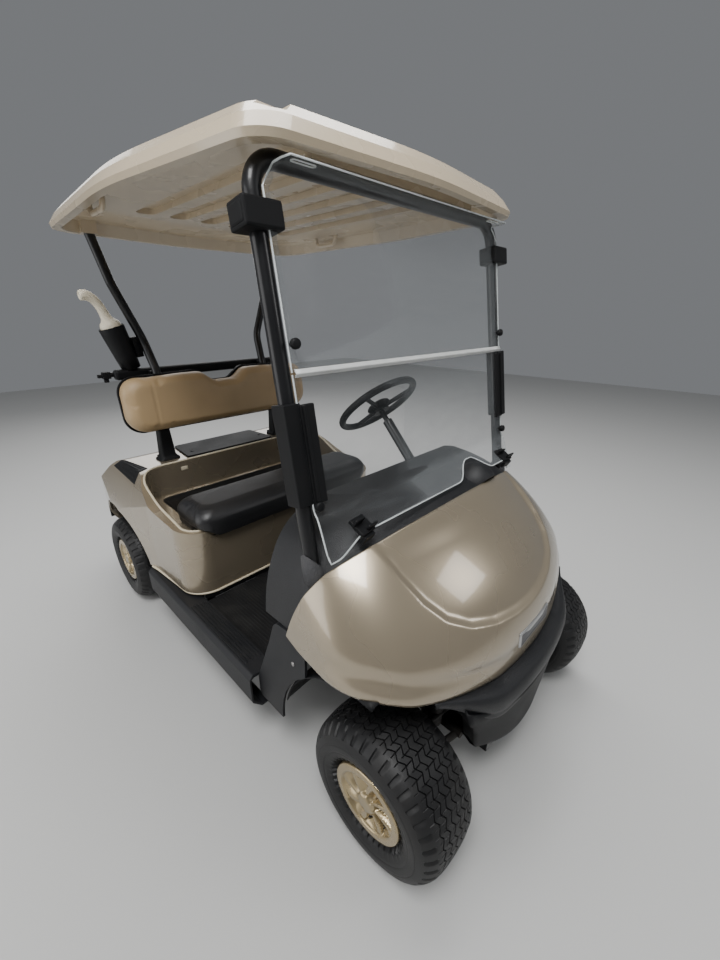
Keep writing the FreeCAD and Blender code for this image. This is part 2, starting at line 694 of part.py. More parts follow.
leg_side = [
    (rocker_front - 2, size.rocker_low + 60, 20), (rocker_front - 2, size.floor_z + 10, 60),
    (front_axle + 385, 520, 60), (front_axle + 350, 610, 40), (front_axle + 290, 615, 0),
    (front_axle + 215, 590, 0), (front_axle + 240, size.rocker_low + 60, 0),
]
leg_panels = []
for name, side in SIDES:
    outer = side * size.leg_outer
    inner = side * (size.leg_outer - size.leg_wall)
    panel = prism(leg_side, "yz", min(outer, inner), max(outer, inner))
    flange = prism(leg_side, "yz", min(side * (size.floor_half_width + 0.3), inner),
                   max(side * (size.floor_half_width + 0.3), inner))
    hollow = [(u - 8, v, radius) for u, v, radius in leg_side]
    flange = flange.cut(prism(hollow, "yz", -beyond, beyond))
    leg_panels.append(fuse([panel, flange]).cut(front_arch))
computed("leg_panels", Part.makeCompound(leg_panels))


# Front pillars: one hoop from the cowl's sides up under the roof.

pillar_base_y = front_axle + size.pillar_base_y
pillar_top_y = front_axle + size.pillar_top_y
hoop_z = size.roof_low - 10


def on_pillar(z):
    """The y of the pillar line at a height."""
    share = (z - size.pillar_base_z) / (hoop_z - size.pillar_base_z)
    return pillar_base_y + share * (pillar_top_y - pillar_base_y)


def pillar_hoop(radius):
    """The hoop's tube at a radius."""
    base = size.pillar_base_x
    low = size.pillar_foot_z
    return bent_tube([(-base, on_pillar(low), low), (-base + 4, pillar_top_y, hoop_z),
                      (base - 4, pillar_top_y, hoop_z), (base, on_pillar(low), low)], [70, 70], radius)


computed("front_pillars", pillar_hoop(size.pillar_tube))
hoop_clear = pillar_hoop(size.pillar_tube + 0.3)


# Front body: a domed shell lofted through level sections, trimmed by side-view outlines.

# Level sections of the nose: height, half width, nose ahead of the axle, nose radius, corner radius.
NOSE_LEVELS = (
    (480, 562, 168, 1150, 210),
    (600, 557, 158, 1100, 220),
    (700, 547, 106, 1000, 240),
    (800, 517, 16, 900, 260),
    (880, 462, -84, 820, 270),
    (903, 428, -140, 790, 268),
    (928, 372, -248, 760, 266),
)


def nose_wire(level, half, ahead, nose_radius, corner, inset):
    """A level section: a broad nose arc, two corner arcs and straight sides."""
    half = half - inset
    nose_y = front_axle - ahead + inset
    nose_radius = nose_radius - inset
    corner = corner - inset
    back_y = front_axle + size.cowl_back + inset
    centre_y = nose_y + nose_radius
    span = nose_radius - corner
    corner_y = centre_y - math.sqrt(span ** 2 - (half - corner) ** 2)
    aim = math.atan2(half - corner, centre_y - corner_y)
    touch_x = nose_radius * math.sin(aim)
    touch_y = centre_y - nose_radius * math.cos(aim)
    middle = (math.pi / 2 + aim) / 2
    corner_x = half - corner
    mid_x = corner_x + corner * math.sin(middle)
    mid_y = corner_y - corner * math.cos(middle)
    edges = [
        Part.Arc(vec(-touch_x, touch_y, level), vec(0, nose_y, level), vec(touch_x, touch_y, level)),
        Part.Arc(vec(touch_x, touch_y, level), vec(mid_x, mid_y, level), vec(half, corner_y, level)),
        Part.LineSegment(vec(half, corner_y, level), vec(half, back_y, level)),
        Part.LineSegment(vec(half, back_y, level), vec(-half, back_y, level)),
        Part.LineSegment(vec(-half, back_y, level), vec(-half, corner_y, level)),
        Part.Arc(vec(-half, corner_y, level), vec(-mid_x, mid_y, level), vec(-touch_x, touch_y, level)),
    ]
    return Part.Wire([edge.toShape() for edge in edges])


def nose_form(inset):
    """The solid nose form, smaller by the inset all round."""
    wires = [nose_wire(level - inset, half, ahead, nose, corner, inset)
             for level, half, ahead, nose, corner in NOSE_LEVELS]
    return Part.makeLoft(wires, True, False)


nose_outer = nose_form(0)
nose_inner = nose_form(size.shell_wall)
cowl_side = [
    (front_axle + 60, 1000, 0), (front_axle + 120, 893, 40), (front_axle + 197, 814, 120),
    (front_axle + 250, 700, 150), (front_axle + 284, 608, 12), (front_axle + 230, 588, 60),
    (front_axle + 130, 572, 100), (front_axle - 10, 575, 120), (front_axle - 80, 553, 80),
    (front_axle - 135, 512, 60), (front_axle - 150, size.cowl_low, 0),
    (front_axle - 300, size.cowl_low, 0), (front_axle - 300, 1000, 0),
]
cowl_keep = prism(cowl_side, "yz", -beyond, beyond)


def pressed_panel(grow):
    """The hood's pressed U, seen from the front, grown by a margin."""
    half = size.panel_half + grow
    low = size.panel_low - grow
    return prism([(-half - 8, 1100, 0), (-half, low + 200, 150), (-half + 130, low + 40, 200), (0, low, 330),
                  (half - 130, low + 40, 200), (half, low + 200, 150), (half + 8, 1100, 0)],
                 "xz", front_axle - 400, front_axle + 300)


press = size.panel_depth
skin = nose_outer.cut(pressed_panel(0).cut(nose_form(press)))
lining = nose_inner.cut(pressed_panel(size.shell_wall).cut(nose_form(press + size.shell_wall)))
cowl = skin.cut(lining).common(cowl_keep).cut(hoop_clear)
computed("front_cowl", cowl)

# The dash tucks under the cowl's rear edge and carries a flat face towards the riders.
dash_wall = size.shell_wall + size.panel_depth + 0.3
dash_outer = nose_form(dash_wall)
dash_inner = nose_form(dash_wall + size.shell_wall)
tuck = size.dash_tuck
dash_end = front_axle + size.dash_back
dash_side = [
    (front_axle + 60 - tuck, 1000, 0), (front_axle + 120 - tuck, 893, 40),
    (front_axle + 197 - tuck, 814, 120), (front_axle + 250 - tuck, 700, 150),
    (front_axle + 284 - tuck, size.dash_low, 0), (dash_end, size.dash_low, 0), (dash_end, 1000, 0),
]
dash_shell = dash_outer.cut(dash_inner).common(prism(dash_side, "yz", -beyond, beyond))
dash_face = dash_outer.common(box((-beyond, dash_end - 8, size.dash_low), (beyond, dash_end, 1000)))
dome = Part.makeSphere(size.dome_radius, vec(size.dome_x, front_axle + size.dome_y, size.dome_z))
dome = dome.cut([nose_form(dash_wall + 3), cowl_keep.translated(vec(0, 0.3, 0))])
computed("dash", fuse([dash_shell, dash_face, dome]).cut(hoop_clear))

# Bumper band and the lower fascia under it, one moulding.
bumper_y = front_axle - size.bumper_reach
band = both_sides([
    (0, bumper_y, 1100), (270, bumper_y + 36, 500), (size.bumper_half, bumper_y + 118, 8),
    (size.bumper_half - 8, bumper_y + 134, 0), (250, bumper_y + 106, 200), (0, bumper_y + 76, 900),
])
bumper = prism(band, "xy", size.bumper_low, size.cowl_low - 0.3)
fascia_y = front_axle - size.fascia_reach
apron = [
    (-size.fascia_half, fascia_y + 40, 0), (-120, fascia_y + 6, 120), (120, fascia_y + 6, 120),
    (size.fascia_half, fascia_y + 40, 0), (size.fascia_half - 8, fascia_y + 56, 0),
    (116, fascia_y + 22, 104), (-116, fascia_y + 22, 104), (-size.fascia_half + 8, fascia_y + 56, 0),
]
fascia = prism(apron, "xy", size.fascia_low, size.bumper_low + 10)
horn_end = front_axle - size.rail_front - 0.3
horns = [box((side * 100 - 15, fascia_y + 15, size.fascia_low), (side * 100 + 15, horn_end, size.fascia_low + 30))
         for name, side in SIDES]
computed("front_bumper", fuse([bumper, fascia] + horns))

# Pedals on the toe board, driver's side.
slope = math.atan2(size.toe_rise, size.toe_start - size.toe_end)
foot_y = toe_y + 6 - size.pedal_along * math.cos(slope)
foot_z = size.floor_z + size.pedal_along * math.sin(slope)
pedals = []
for name, x in (("brake", size.wheel_x - 75), ("drive", size.wheel_x + 65)):
    pad = cuboid(f"pedal_pad_{name}", (-size.pedal_width / 2, 30, -size.pedal_height / 2),
                 (size.pedal_width / 2, 42, size.pedal_height / 2))
    pedal = merged(f"pedal_{name}", [pad, bar(f"pedal_stem_{name}", (0, 0, 0), (0, 36, 0), 9)])
    place(pedal, (x, foot_y, foot_z), FreeCAD.Rotation(vec(1, 0, 0), 90 - math.degrees(slope)))
    pedals.append(pedal)
keep(gathered("pedals", pedals))


# Rear body: one moulding that holds the seat well, the fenders and the deck.

def body_form(inset):
    """Plan, section and side outlines of the rear body meet in one solid."""
    tail = tail_y - size.body_tail_gap - inset
    plan = both_sides([
        (0, seat_front + inset, 0), (size.body_front_half - inset, seat_front + inset, 110),
        (size.body_front_half + 18 - inset, seat_front + 320, 400),
        (size.body_hip_half - inset, rear_axle - 20, 500),
        (size.body_tail_half - inset, tail, 90), (0, tail, 0),
    ])
    section = both_sides([
        (0, size.body_low - 1, 0), (size.body_hip_half + 3 - inset, size.body_low - 1, 0),
        (size.body_hip_half - 4 - inset, 540, 300), (size.body_front_half - inset, 700, 70),
        (size.body_front_half - 60 - inset, size.deck_top + 30 - inset, 40),
        (0, size.deck_top + 30 - inset, 0),
    ])
    top = size.rail_top - inset
    deck = size.deck_top - inset
    side = [
        (seat_front - 5, size.body_low, 0), (seat_front - 5, top - 4, 0),
        (seat_front + 290, top + 34, 240), (seat_front + 470, deck, 110),
        (rear_axle + 60, deck, 120), (tail - 60, 590 - inset, 120), (tail + 5, 480, 60),
        (tail + 5, size.body_low, 0),
    ]
    solid = prism(plan, "xy", size.body_low - 1, 900)
    solid = solid.common(prism(section, "xz", seat_front - 10, tail + 10))
    return solid.common(prism(side, "yz", -beyond, beyond))


body = body_form(0)
hollow = body_form(size.body_wall)
hollow = hollow.fuse(hollow.translated(vec(0, 0, -20)))
well_back = seat_front + size.seat_front - size.well_back
well = [
    (size.well_half, seat_front + 24, 60), (size.well_half, well_back, 120),
    (-size.well_half, well_back, 120), (-size.well_half, seat_front + 24, 60),
]
well_wall = prism([(size.well_half + size.body_wall, seat_front + 24 - size.body_wall, 60),
                   (size.well_half + size.body_wall, well_back + size.body_wall, 120),
                   (-size.well_half - size.body_wall, well_back + size.body_wall, 120),
                   (-size.well_half - size.body_wall, seat_front + 24 - size.body_wall, 60)],
                  "xy", size.ledge_z - size.body_wall, 900)
well_cut = prism(well, "xy", size.ledge_z, 900)
bay_cut = prism([(size.bay_half, seat_front + size.bay_front, 40), (size.bay_half, well_back - size.bay_back, 40),
                 (-size.bay_half, well_back - size.bay_back, 40), (-size.bay_half, seat_front + size.bay_front, 40)],
                "xy", 200, 900)
bag_front = rear_axle + size.bag_front
bag_cut = box((-size.bag_half, bag_front, 200), (size.bag_half, rear_axle + 600, 900))
shell = body.cut(hollow)
lining = well_wall.common(body)
shell = shell.fuse(lining).cut(well_cut).cut(bay_cut).cut(rear_arches).cut(bag_cut)
computed("rear_body", shell.removeSplitter())

# Bag well floor between the fenders, and the rear bumper.
half = size.bag_half - 0.3
bag_front += 0.3
bag_end = tail_y - size.rear_bumper_depth
wall = size.bag_wall
low = size.bag_floor
well_pieces = [
    cuboid("bag_floor_plate", (-half, bag_front, low), (half, bag_end, low + wall)),
    cuboid("bag_front_wall", (-half, bag_front, low), (half, bag_front + wall, size.deck_top - 40)),
    cuboid("bag_lip", (-half, bag_end - wall, low), (half, bag_end, low + 60)),
]
for name, side in SIDES:
    inner, outer = sorted((side * (half - wall), side * half))
    well_pieces.append(cuboid(f"bag_cheek_{name}", (inner, bag_front, low), (outer, bag_end, low + 80)))
    x = side * size.rail_half_spacing
    well_pieces.append(cuboid(f"bag_bearer_{name}", (x - 20, bag_front, rail_high + rise + 0.3),
                              (x + 20, rail_end, low + 1)))
keep(merged("bag_well", well_pieces))
tail_plan = both_sides([
    (0, tail_y, 1500), (430, tail_y - 20, 60), (540, tail_y - 110, 0), (500, tail_y - 108, 0),
    (410, bag_end + 0.3, 20), (0, bag_end + 0.3, 0),
])
computed("rear_bumper", prism(tail_plan, "xy", size.rear_bumper_low, size.rear_bumper_high))

# Deck panel and fender pads.
deck_y = well_back + 30
deck_end = deck_y + size.deck_panel_depth
half = size.deck_panel_half
keep(padded("deck_panel", "xy", [(half, deck_y, 14), (half - 20, deck_end, 20), (20 - half, deck_end, 20),
                                 (-half, deck_y, 14)],
            size.deck_top + 0.3, size.deck_top + 0.3 + size.deck_panel_thick))

# Seat bottom, resting on the front ledge of the well.
cushion_y = seat_front + 40
cushion_end = cushion_y + size.cushion_depth
half = size.cushion_half
seat_low = size.ledge_z + size.seat_gap
seat = padded("seat_cushion", "xy", [(half, cushion_y, 60), (half, cushion_end, 40), (-half, cushion_end, 40),
                                     (-half, cushion_y, 60)], seat_low, seat_low + size.cushion_height)
doc.recompute()
rim_edges = [f"Edge{index}" for index, edge in enumerate(seat.Shape.Edges, 1)
             if edge.BoundBox.ZMin > seat_low + size.cushion_height - 1]
block = seat.Tip
crown = seat.newObject("PartDesign::Fillet", "seat_crown")
crown.Base = (block, rim_edges)
bind(crown, "Radius", size.cushion_round * 0.8)
keep(seat)

# Backrest: cushion, its shell and the two supports that stand on the deck.
back_y = rear_axle - size.back_y + 8
dip = size.back_high - size.back_dip
back_outline = [
    (-size.back_half, size.back_low, 80), (-size.back_half, size.back_high - 4, 75),
    (-120, size.back_high + 4, 60), (-45, dip, 50), (45, dip, 50), (120, size.back_high + 4, 60),
    (size.back_half, size.back_high - 4, 75), (size.back_half, size.back_low, 80),
]
lean_axis = vec(0, back_y + size.back_thick, size.back_low)
cushion = prism(back_outline, "xz", back_y, back_y + size.back_thick)
shell = prism([(u * 0.99, v - 2, radius) for u, v, radius in back_outline], "xz",
              back_y + size.back_thick + 0.3, back_y + size.back_thick + 0.3 + size.back_shell)
for shape in (cushion, shell):
    shape.rotate(lean_axis, vec(1, 0, 0), -size.back_lean)
computed("back_cushion", cushion)

shell_y = back_y + size.back_thick + size.back_shell
post_turn = (size.support_x, shell_y + 18, size.back_low + 10)
post_end = (size.strut_low_x, shell_y + size.support_tube + 15, size.strut_low_z)
supports = []
for name, side in SIDES:
    x = side * size.support_x
    foot = box((x - 34, shell_y - 10, size.deck_top + 0.3), (x + 34, shell_y + 60, size.deck_top + 14))
    path = [(x, shell_y + 14, size.deck_top + 5), (x, post_turn[1], post_turn[2]), (side * post_end[0], *post_end[1:])]
    stay = box((x - 20, shell_y - 5, size.back_low + 20), (x + 20, shell_y + 36, size.back_low + 90))
    stay.rotate(lean_axis, vec(1, 0, 0), -size.back_lean)
    supports.append(fuse([foot, bent_tube(path, [120], size.support_tube), stay]))
computed("back_frame", fuse([shell] + supports))

# Roof struts and the roof.


def strut_tubes(radius):
    """Both struts, from the backrest posts up to the roof, at a radius."""
    run = vec(*post_end).sub(vec(*post_turn))
    run.normalize()
    foot = vec(*post_end).add(run * 0.3)
    knee = vec(*post_end).add(run * 60)
    tubes = []
    for name, side in SIDES:
        tube = bent_tube([
            (side * foot.x, foot.y, foot.z), (side * knee.x, knee.y, knee.z),
            (side * (size.strut_low_x + 8), rear_axle - size.strut_mid_y, size.strut_mid_z),
            (side * (size.strut_top_x - 42), rear_axle + size.strut_top_y - 8, size.strut_mid_z + 230),
            (side * size.strut_top_x, rear_axle + size.strut_top_y, size.roof_low + 20),
        ], [140, 160, 200], radius)
        tubes.append(tube.common(box((-beyond, 0, 0), (beyond, tail_y, size.roof_low - 0.3))))
    return Part.makeCompound(tubes)


computed("rear_struts", strut_tubes(size.strut_tube))
strut_clear = strut_tubes(size.strut_tube + 0.3)

roof_front = front_axle + size.roof_front
roof_rear = rear_axle + size.roof_rear


def spaced(step, count):
    """Places spaced evenly on both sides of the middle."""
    return [side * (index + 0.5) * step for side in (-1, 1) for index in range(count)]


def roof_outline(inset, level):
    """Plan outline of the roof, smaller by the inset all round."""
    return rounded(both_sides([
        (0, roof_front - 8 + inset, 1500), (size.roof_front_half - inset, roof_front + 34 + inset, 90),
        (size.overall_width / 2 - inset, front_axle + 900, 1500),
        (size.roof_rear_half - inset, roof_rear - 80 - inset, 110), (0, roof_rear - inset, 1300),
    ]), "xy", level)


slope = size.roof_side_slope
low = size.roof_low
high = size.overall_height - size.roof_crown
gutter_z = high - size.roof_gutter
ceiling = gutter_z - size.roof_wall - 6
outer = Part.makeLoft([roof_outline(4, low), roof_outline(0, low + 14), roof_outline(slope * 0.45, high - 26),
                       roof_outline(slope, high)], True, True)
crown = Part.makeLoft([roof_outline(slope + 36, gutter_z),
                       roof_outline(slope + 60, high + size.roof_crown)], True, True)
gutter = Part.makeLoft([roof_outline(slope + 22, high + 1), roof_outline(slope + 22, gutter_z)], True, True)
inner = Part.makeLoft([roof_outline(size.roof_lip + 4, low - 1),
                       roof_outline(size.roof_lip + slope * 0.45, high - 30),
                       roof_outline(size.roof_lip + slope, ceiling)], True, True)

# Channels under the roof, front to back, and the water outlets in its front and rear rims.
channels = []
for x in spaced(size.channel_step, 3):
    half = size.channel_width / 2
    bottom = prism([(x - half, roof_front + 150, half * 0.9), (x + half, roof_front + 150, half * 0.9),
                    (x + half, rear_axle - 290, half * 0.9), (x - half, rear_axle - 290, half * 0.9)],
                   "xy", ceiling - 1, ceiling + size.channel_depth)
    channels.append(bottom)
outlets = []
for name, side in SIDES:
    x = side * size.outlet_x
    outlets.append(prism([(x - 46, high + 20, 0), (x - 34, high - 2, 14), (x - 14, gutter_z - 6, 12),
                          (x + 14, gutter_z - 6, 12), (x + 34, high - 2, 14), (x + 46, high + 20, 0)],
                         "xz", roof_front - 20, roof_front + slope + 60))
front_rib = box((-330, pillar_top_y - 12, hoop_z + size.pillar_tube + 0.3),
                (330, pillar_top_y + 12, ceiling + 1))
pads = []
for name, side in SIDES:
    x = side * size.strut_top_x
    y = rear_axle + size.strut_top_y
    pad = size.strut_pad
    pads.append(box((x - pad, y - pad, low), (x + pad, y + pad, ceiling + 1)))
    x = side * size.grip_x
    pads.append(bent_tube([(x, rear_axle - 470, ceiling + 1), (x, rear_axle - 470, ceiling - 34),
                           (x, rear_axle - 330, ceiling - 34), (x, rear_axle - 330, ceiling + 1)], [26, 26], 9))
roof = outer.cut(gutter).fuse(crown).cut([inner] + channels + outlets).fuse([front_rib] + pads)
computed("roof", roof.removeSplitter())


# Windscreen: two panes that lean with the pillars, a foot bent over the dash and a head flange.
glass_ahead = size.pillar_tube + 3
sheet_thick = size.glass_thick


def on_pane(z):
    """The y of the panes' rear face at a height."""
    return on_pillar(z) - glass_ahead


def pane_room(low, high):
    """The room that the leaning panes take between two heights, with a running clearance."""
    return prism([(on_pane(low) + 0.3, low, 0), (on_pane(high) + 0.3, high, 0),
                  (on_pane(high) - sheet_thick - 8, high, 0), (on_pane(low) - sheet_thick - 8, low, 0)],
                 "yz", -600, 600)


crease = size.glass_crease
foot_y = front_axle + size.foot_ahead
foot_z = size.foot_low
split = size.glass_mid
lower_side = [
    (on_pane(split - 1), split - 1, 0), (on_pane(crease), crease, 14), (foot_y, foot_z, 0),
    (foot_y - 3, foot_z + 5, 0), (on_pane(crease) - sheet_thick, crease + 2.5, 20),
    (on_pane(split - 1) - sheet_thick, split - 1, 0),
]
lower_pane = padded("lower_pane", "yz", lower_side, -size.glass_half, size.glass_half)
dome_room = doc.addObject("Part::Sphere", "dome_room")
bind(dome_room, "Radius", size.dome_radius + 6)
place(dome_room, (size.dome_x, front_axle + size.dome_y, size.dome_z))
keep(carved("windscreen_lower", lower_pane, dome_room))

top = size.glass_high
head_y = on_pane(top) - size.head_flange
upper_side = [
    (on_pane(split + 1), split + 1, 0), (on_pane(top), top, 14), (head_y, top + 22, 0),
    (head_y - 2, top + 16, 0), (on_pane(top) - sheet_thick, top - 4, 8),
    (on_pane(split + 1) - sheet_thick, split + 1, 0),
]
upper_pane = padded("upper_pane", "yz", upper_side, -size.glass_half, size.glass_half)
slots = [cuboid(f"head_slot_{name}", (side * (size.glass_half - 80) - 40, head_y + 12, top - 20),
                (side * (size.glass_half - 80) + 40, head_y + 24, top + 40)) for name, side in SIDES]
keep(carved("windscreen_upper", upper_pane, gathered("head_slots", slots)))

# Sleeves and clip boxes that grip the pillars: side, middle height, height, depth behind the pillar.
FITTINGS = ((-1, 1100, 240, 26), (1, 1153, 240, 26), (-1, 1595, 80, 34), (1, 1592, 76, 34))
fittings = []
pillar_lean = math.degrees(math.atan2(pillar_top_y - pillar_base_y, hoop_z - size.pillar_base_z))
for side, middle, height, depth in FITTINGS:
    x = side * (size.pillar_base_x - 2)
    y = on_pillar(middle)
    block = prism([(x - 27, y - 40, 8), (x + 27, y - 40, 8), (x + 27, y + depth, 8), (x - 27, y + depth, 8)],
                  "xy", middle - height / 2, middle + height / 2)
    block.rotate(vec(x, y, middle), vec(1, 0, 0), -pillar_lean)
    block = block.cut(hoop_clear).cut(pane_room(middle - height, middle + height))
    fittings.append(max(block.Solids, key=lambda solid: solid.Volume))
computed("windscreen_fittings", Part.makeCompound(fittings))


# Bag rail behind the backrest, and the sand bottle in its holder.
rail_y = rear_axle + size.strut_tube + size.bag_rail_tube + 0.3
rail_pieces = [bar("bag_rail_bar", (-size.bag_rail_half, rail_y, size.rail_z),
                   (size.bag_rail_half, rail_y, size.rail_z), size.bag_rail_tube)]
clear_struts = doc.addObject("Part::Feature", "strut_clearance")
clear_struts.Shape = strut_clear
for name, side in SIDES:
    x = side * size.strut_low_x
    ear = cuboid(f"rail_ear_{name}", (x - 12, rail_y - size.rail_stand_off, size.rail_z - 10),
                 (x + 12, rail_y, size.rail_z + 10))
    ring = bar(f"rail_ring_{name}", (x - 12, rail_y, size.rail_z), (x + 12, rail_y, size.rail_z),
               size.bag_rail_tube + 4)
    rail_pieces += [ear, ring]
keep(carved("bag_rail", merged("rail_blank", rail_pieces), clear_struts))

# The holder's cup and the bottle in it, both upright about the holder's foot, then leaned outwards.
lean_out = FreeCAD.Rotation(vec(0, 1, 0), -12)
holder_spot = (-size.strut_low_x - size.strut_tube - size.holder_radius + 4, rail_y - 12, size.rail_z + 23)
cup = bar("holder_cup", (0, 0, 0), (0, 0, size.holder_height), size.holder_radius)
arm = cuboid("holder_arm", (0, -60, 70), (90, 0, 110))
room = bar("holder_room", (0, 0, size.holder_wall), (0, 0, size.holder_height + 12),
           size.holder_radius - size.holder_wall)
holder = place(carved("holder_blank", merged("holder_body", [cup, arm]), room), holder_spot, lean_out)
doc.recompute()
holder_shape = max(holder.Shape.cut(strut_clear).Solids, key=lambda solid: solid.Volume)
computed("bottle_holder", holder_shape)

foot = size.holder_wall + 0.3
shoulder = foot + size.bottle_height * 0.6
neck = doc.addObject("Part::Cone", "bottle_neck")
bind(neck, "Radius1", size.bottle_radius)
bind(neck, "Radius2", 16)
bind(neck, "Height", 40)
place(neck, (0, 0, shoulder))
bottle = merged("sand_bottle", [bar("bottle_body", (0, 0, foot), (0, 0, shoulder), size.bottle_radius), neck,
                                bar("bottle_spout", (0, 0, shoulder + 37), (0, 0, shoulder + 127), 16)])
keep(place(bottle, holder_spot, lean_out))


# Steering wheel with its shaft, and the fixed column tube, both modelled upright along their axis.
hub_y = front_axle + size.steer_hub_y
hub_spot = (size.wheel_x, hub_y, size.steer_hub_z)
tilt = FreeCAD.Rotation(vec(1, 0, 0), size.column_angle - 90)
ring = doc.addObject("Part::Torus", "steering_ring")
bind(ring, "Radius1", size.steer_rim_radius)
bind(ring, "Radius2", size.steer_grip_radius)
wheel_pieces = [
    ring,
    bar("steering_hub", (0, 0, -34), (0, 0, -4), 36),
    bar("steering_shaft", (0, 0, -20 - size.column_length), (0, 0, -10), size.shaft_radius),
]
for turn in (90, 210, 330):
    reach = size.steer_rim_radius - 4
    end = (reach * math.cos(math.radians(turn)), reach * math.sin(math.radians(turn)), 0)
    wheel_pieces.append(bar(f"steering_spoke_{turn}", (0, 0, -18), end, 9))
keep(place(merged("steering_wheel", wheel_pieces), hub_spot, tilt))

lean = math.radians(size.column_angle)
axis = vec(0, math.cos(lean), math.sin(lean))
hub_point = vec(*hub_spot)
plate_y = dash_end + 0.3
plate_z = size.steer_hub_z - (hub_y - plate_y) * math.tan(lean)
plate = cuboid("column_plate", (size.wheel_x - 45, plate_y, plate_z - 55),
               (size.wheel_x + 45, plate_y + 10, plate_z + 60))
tube = doc.addObject("Part::Common", "column_tube")
tube.Base = bar("column_bar", hub_point.sub(axis * (size.column_length + 140)), hub_point.sub(axis * 80),
                size.column_radius)
tube.Tool = cuboid("column_room", (0, plate_y, 0), (2 * size.wheel_x, hub_y, size.steer_hub_z))
bore = bar("column_bore", hub_point.sub(axis * (size.column_length + 40)), hub_point.sub(axis * 20),
           size.shaft_radius + size.shaft_gap)
keep(carved("steering_column", merged("column_blank", [tube, plate]), bore))


# Every sub-part is checked before it is written.
doc.recompute()
os.makedirs("parts", exist_ok=True)
for item in doc.Objects:
    for state in item.State:
        if state in ("Invalid", "Error"):
            raise RuntimeError(f"{item.Label} is {state}")
for label, piece in parts.items():
    shape = piece.Shape
    if shape.isNull() or not shape.isValid():
        raise RuntimeError(f"{label} has no valid shape")
for label, piece in parts.items():
    piece.Shape.exportStep(f"parts/{label}.step")
print(len(parts), "sub-parts")
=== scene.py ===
import math
import bmesh
import bpy
import numpy as np
from mathutils import Matrix, Vector
from mathutils.bvhtree import BVHTree


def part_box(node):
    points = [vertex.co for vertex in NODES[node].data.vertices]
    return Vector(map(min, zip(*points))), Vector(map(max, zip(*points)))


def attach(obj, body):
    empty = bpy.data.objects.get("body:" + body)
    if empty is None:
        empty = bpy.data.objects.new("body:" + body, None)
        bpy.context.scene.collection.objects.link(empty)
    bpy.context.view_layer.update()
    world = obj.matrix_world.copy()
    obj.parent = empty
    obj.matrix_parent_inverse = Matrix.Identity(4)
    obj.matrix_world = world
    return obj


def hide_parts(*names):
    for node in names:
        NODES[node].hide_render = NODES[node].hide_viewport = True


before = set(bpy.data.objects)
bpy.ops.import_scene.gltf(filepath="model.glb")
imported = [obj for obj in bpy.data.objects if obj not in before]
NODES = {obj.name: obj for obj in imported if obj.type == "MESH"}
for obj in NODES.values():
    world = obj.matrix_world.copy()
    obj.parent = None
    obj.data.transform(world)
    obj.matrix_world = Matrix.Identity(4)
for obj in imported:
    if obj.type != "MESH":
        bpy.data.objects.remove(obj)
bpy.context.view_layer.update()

# Camera at the photograph's place, a pale floor, a plain backdrop and soft studio lights.
# The camera's place and lens were fitted to the cart's symmetric points.

cam_data = bpy.data.cameras.new("camera")
cam_data.sensor_width = 36
cam_data.lens = 15.154
cam_data.clip_start = 0.05
camera = bpy.data.objects.new("camera", cam_data)
bpy.context.scene.collection.objects.link(camera)
camera.location = (-1.0208, -1.3805, 1.4065)
yaw, pitch = 0.7994, 0.3913
aim = Vector((math.sin(yaw) * math.cos(pitch), math.cos(yaw) * math.cos(pitch), -math.sin(pitch)))
camera.rotation_mode = "QUATERNION"
camera.rotation_quaternion = aim.to_track_quat("-Z", "Y")
bpy.context.scene.camera = camera


def link(obj):
    """Put a new object into the scene."""
    bpy.context.scene.collection.objects.link(obj)
    return obj


def mesh_of(name, points, faces, smooth=True):
    """A mesh from plain lists of points and faces."""
    mesh = bpy.data.meshes.new(name)
    mesh.from_pydata([tuple(p) for p in points], [], faces)
    mesh.validate()
    mesh.update()
    if smooth:
        mesh.polygons.foreach_set("use_smooth", [True] * len(mesh.polygons))
    return mesh


def from_lists(name, points, faces, smooth=True):
    """A mesh object from plain lists of points and faces."""
    return link(bpy.data.objects.new(name, mesh_of(name, points, faces, smooth)))


floor = from_lists("studio_floor", [(-9, -9, 0), (9, -9, 0), (9, 9, 0), (-9, 9, 0)], [(0, 1, 2, 3)], False)
floor_paint = bpy.data.materials.new("studio_floor")
floor_paint.use_nodes = True
shader = floor_paint.node_tree.nodes["Principled BSDF"]
shader.inputs["Base Color"].default_value = (0.50, 0.50, 0.49, 1)
shader.inputs["Roughness"].default_value = 0.85
floor.data.materials.append(floor_paint)

world = bpy.data.worlds.new("studio")
bpy.context.scene.world = world
world.use_nodes = True
world.node_tree.nodes["Background"].inputs["Color"].default_value = (0.80, 0.83, 0.87, 1)
world.node_tree.nodes["Background"].inputs["Strength"].default_value = 0.23

for name, place, target, size, power in (
    ("key", (-1.9, -1.7, 4.7), (0, -0.2, 0.6), 1.8, 200),
    ("top", (0.8, 0.6, 5.0), (0, 0, 0.6), 3.0, 170),
    ("front", (2.2, -4.4, 3.2), (0, -0.6, 0.6), 1.4, 32),
    ("left", (-4.4, 1.2, 1.9), (0, 0.0, 0.7), 3.4, 95),
    ("rear", (1.5, 4.4, 3.0), (0, 0.3, 0.8), 2.6, 45),
):
    light = bpy.data.lights.new(name, "AREA")
    light.size = size
    light.energy = power
    lamp = link(bpy.data.objects.new(name, light))
    lamp.location = place
    lamp.rotation_mode = "QUATERNION"
    lamp.rotation_quaternion = (Vector(target) - Vector(place)).to_track_quat("-Z", "Y")


# Chassis: a welded frame of black steel box section, forged knuckles and arms, a cast rear axle and
# the batteries in their bay. The parts are dusty from use, so all share a dust effect and a grain.

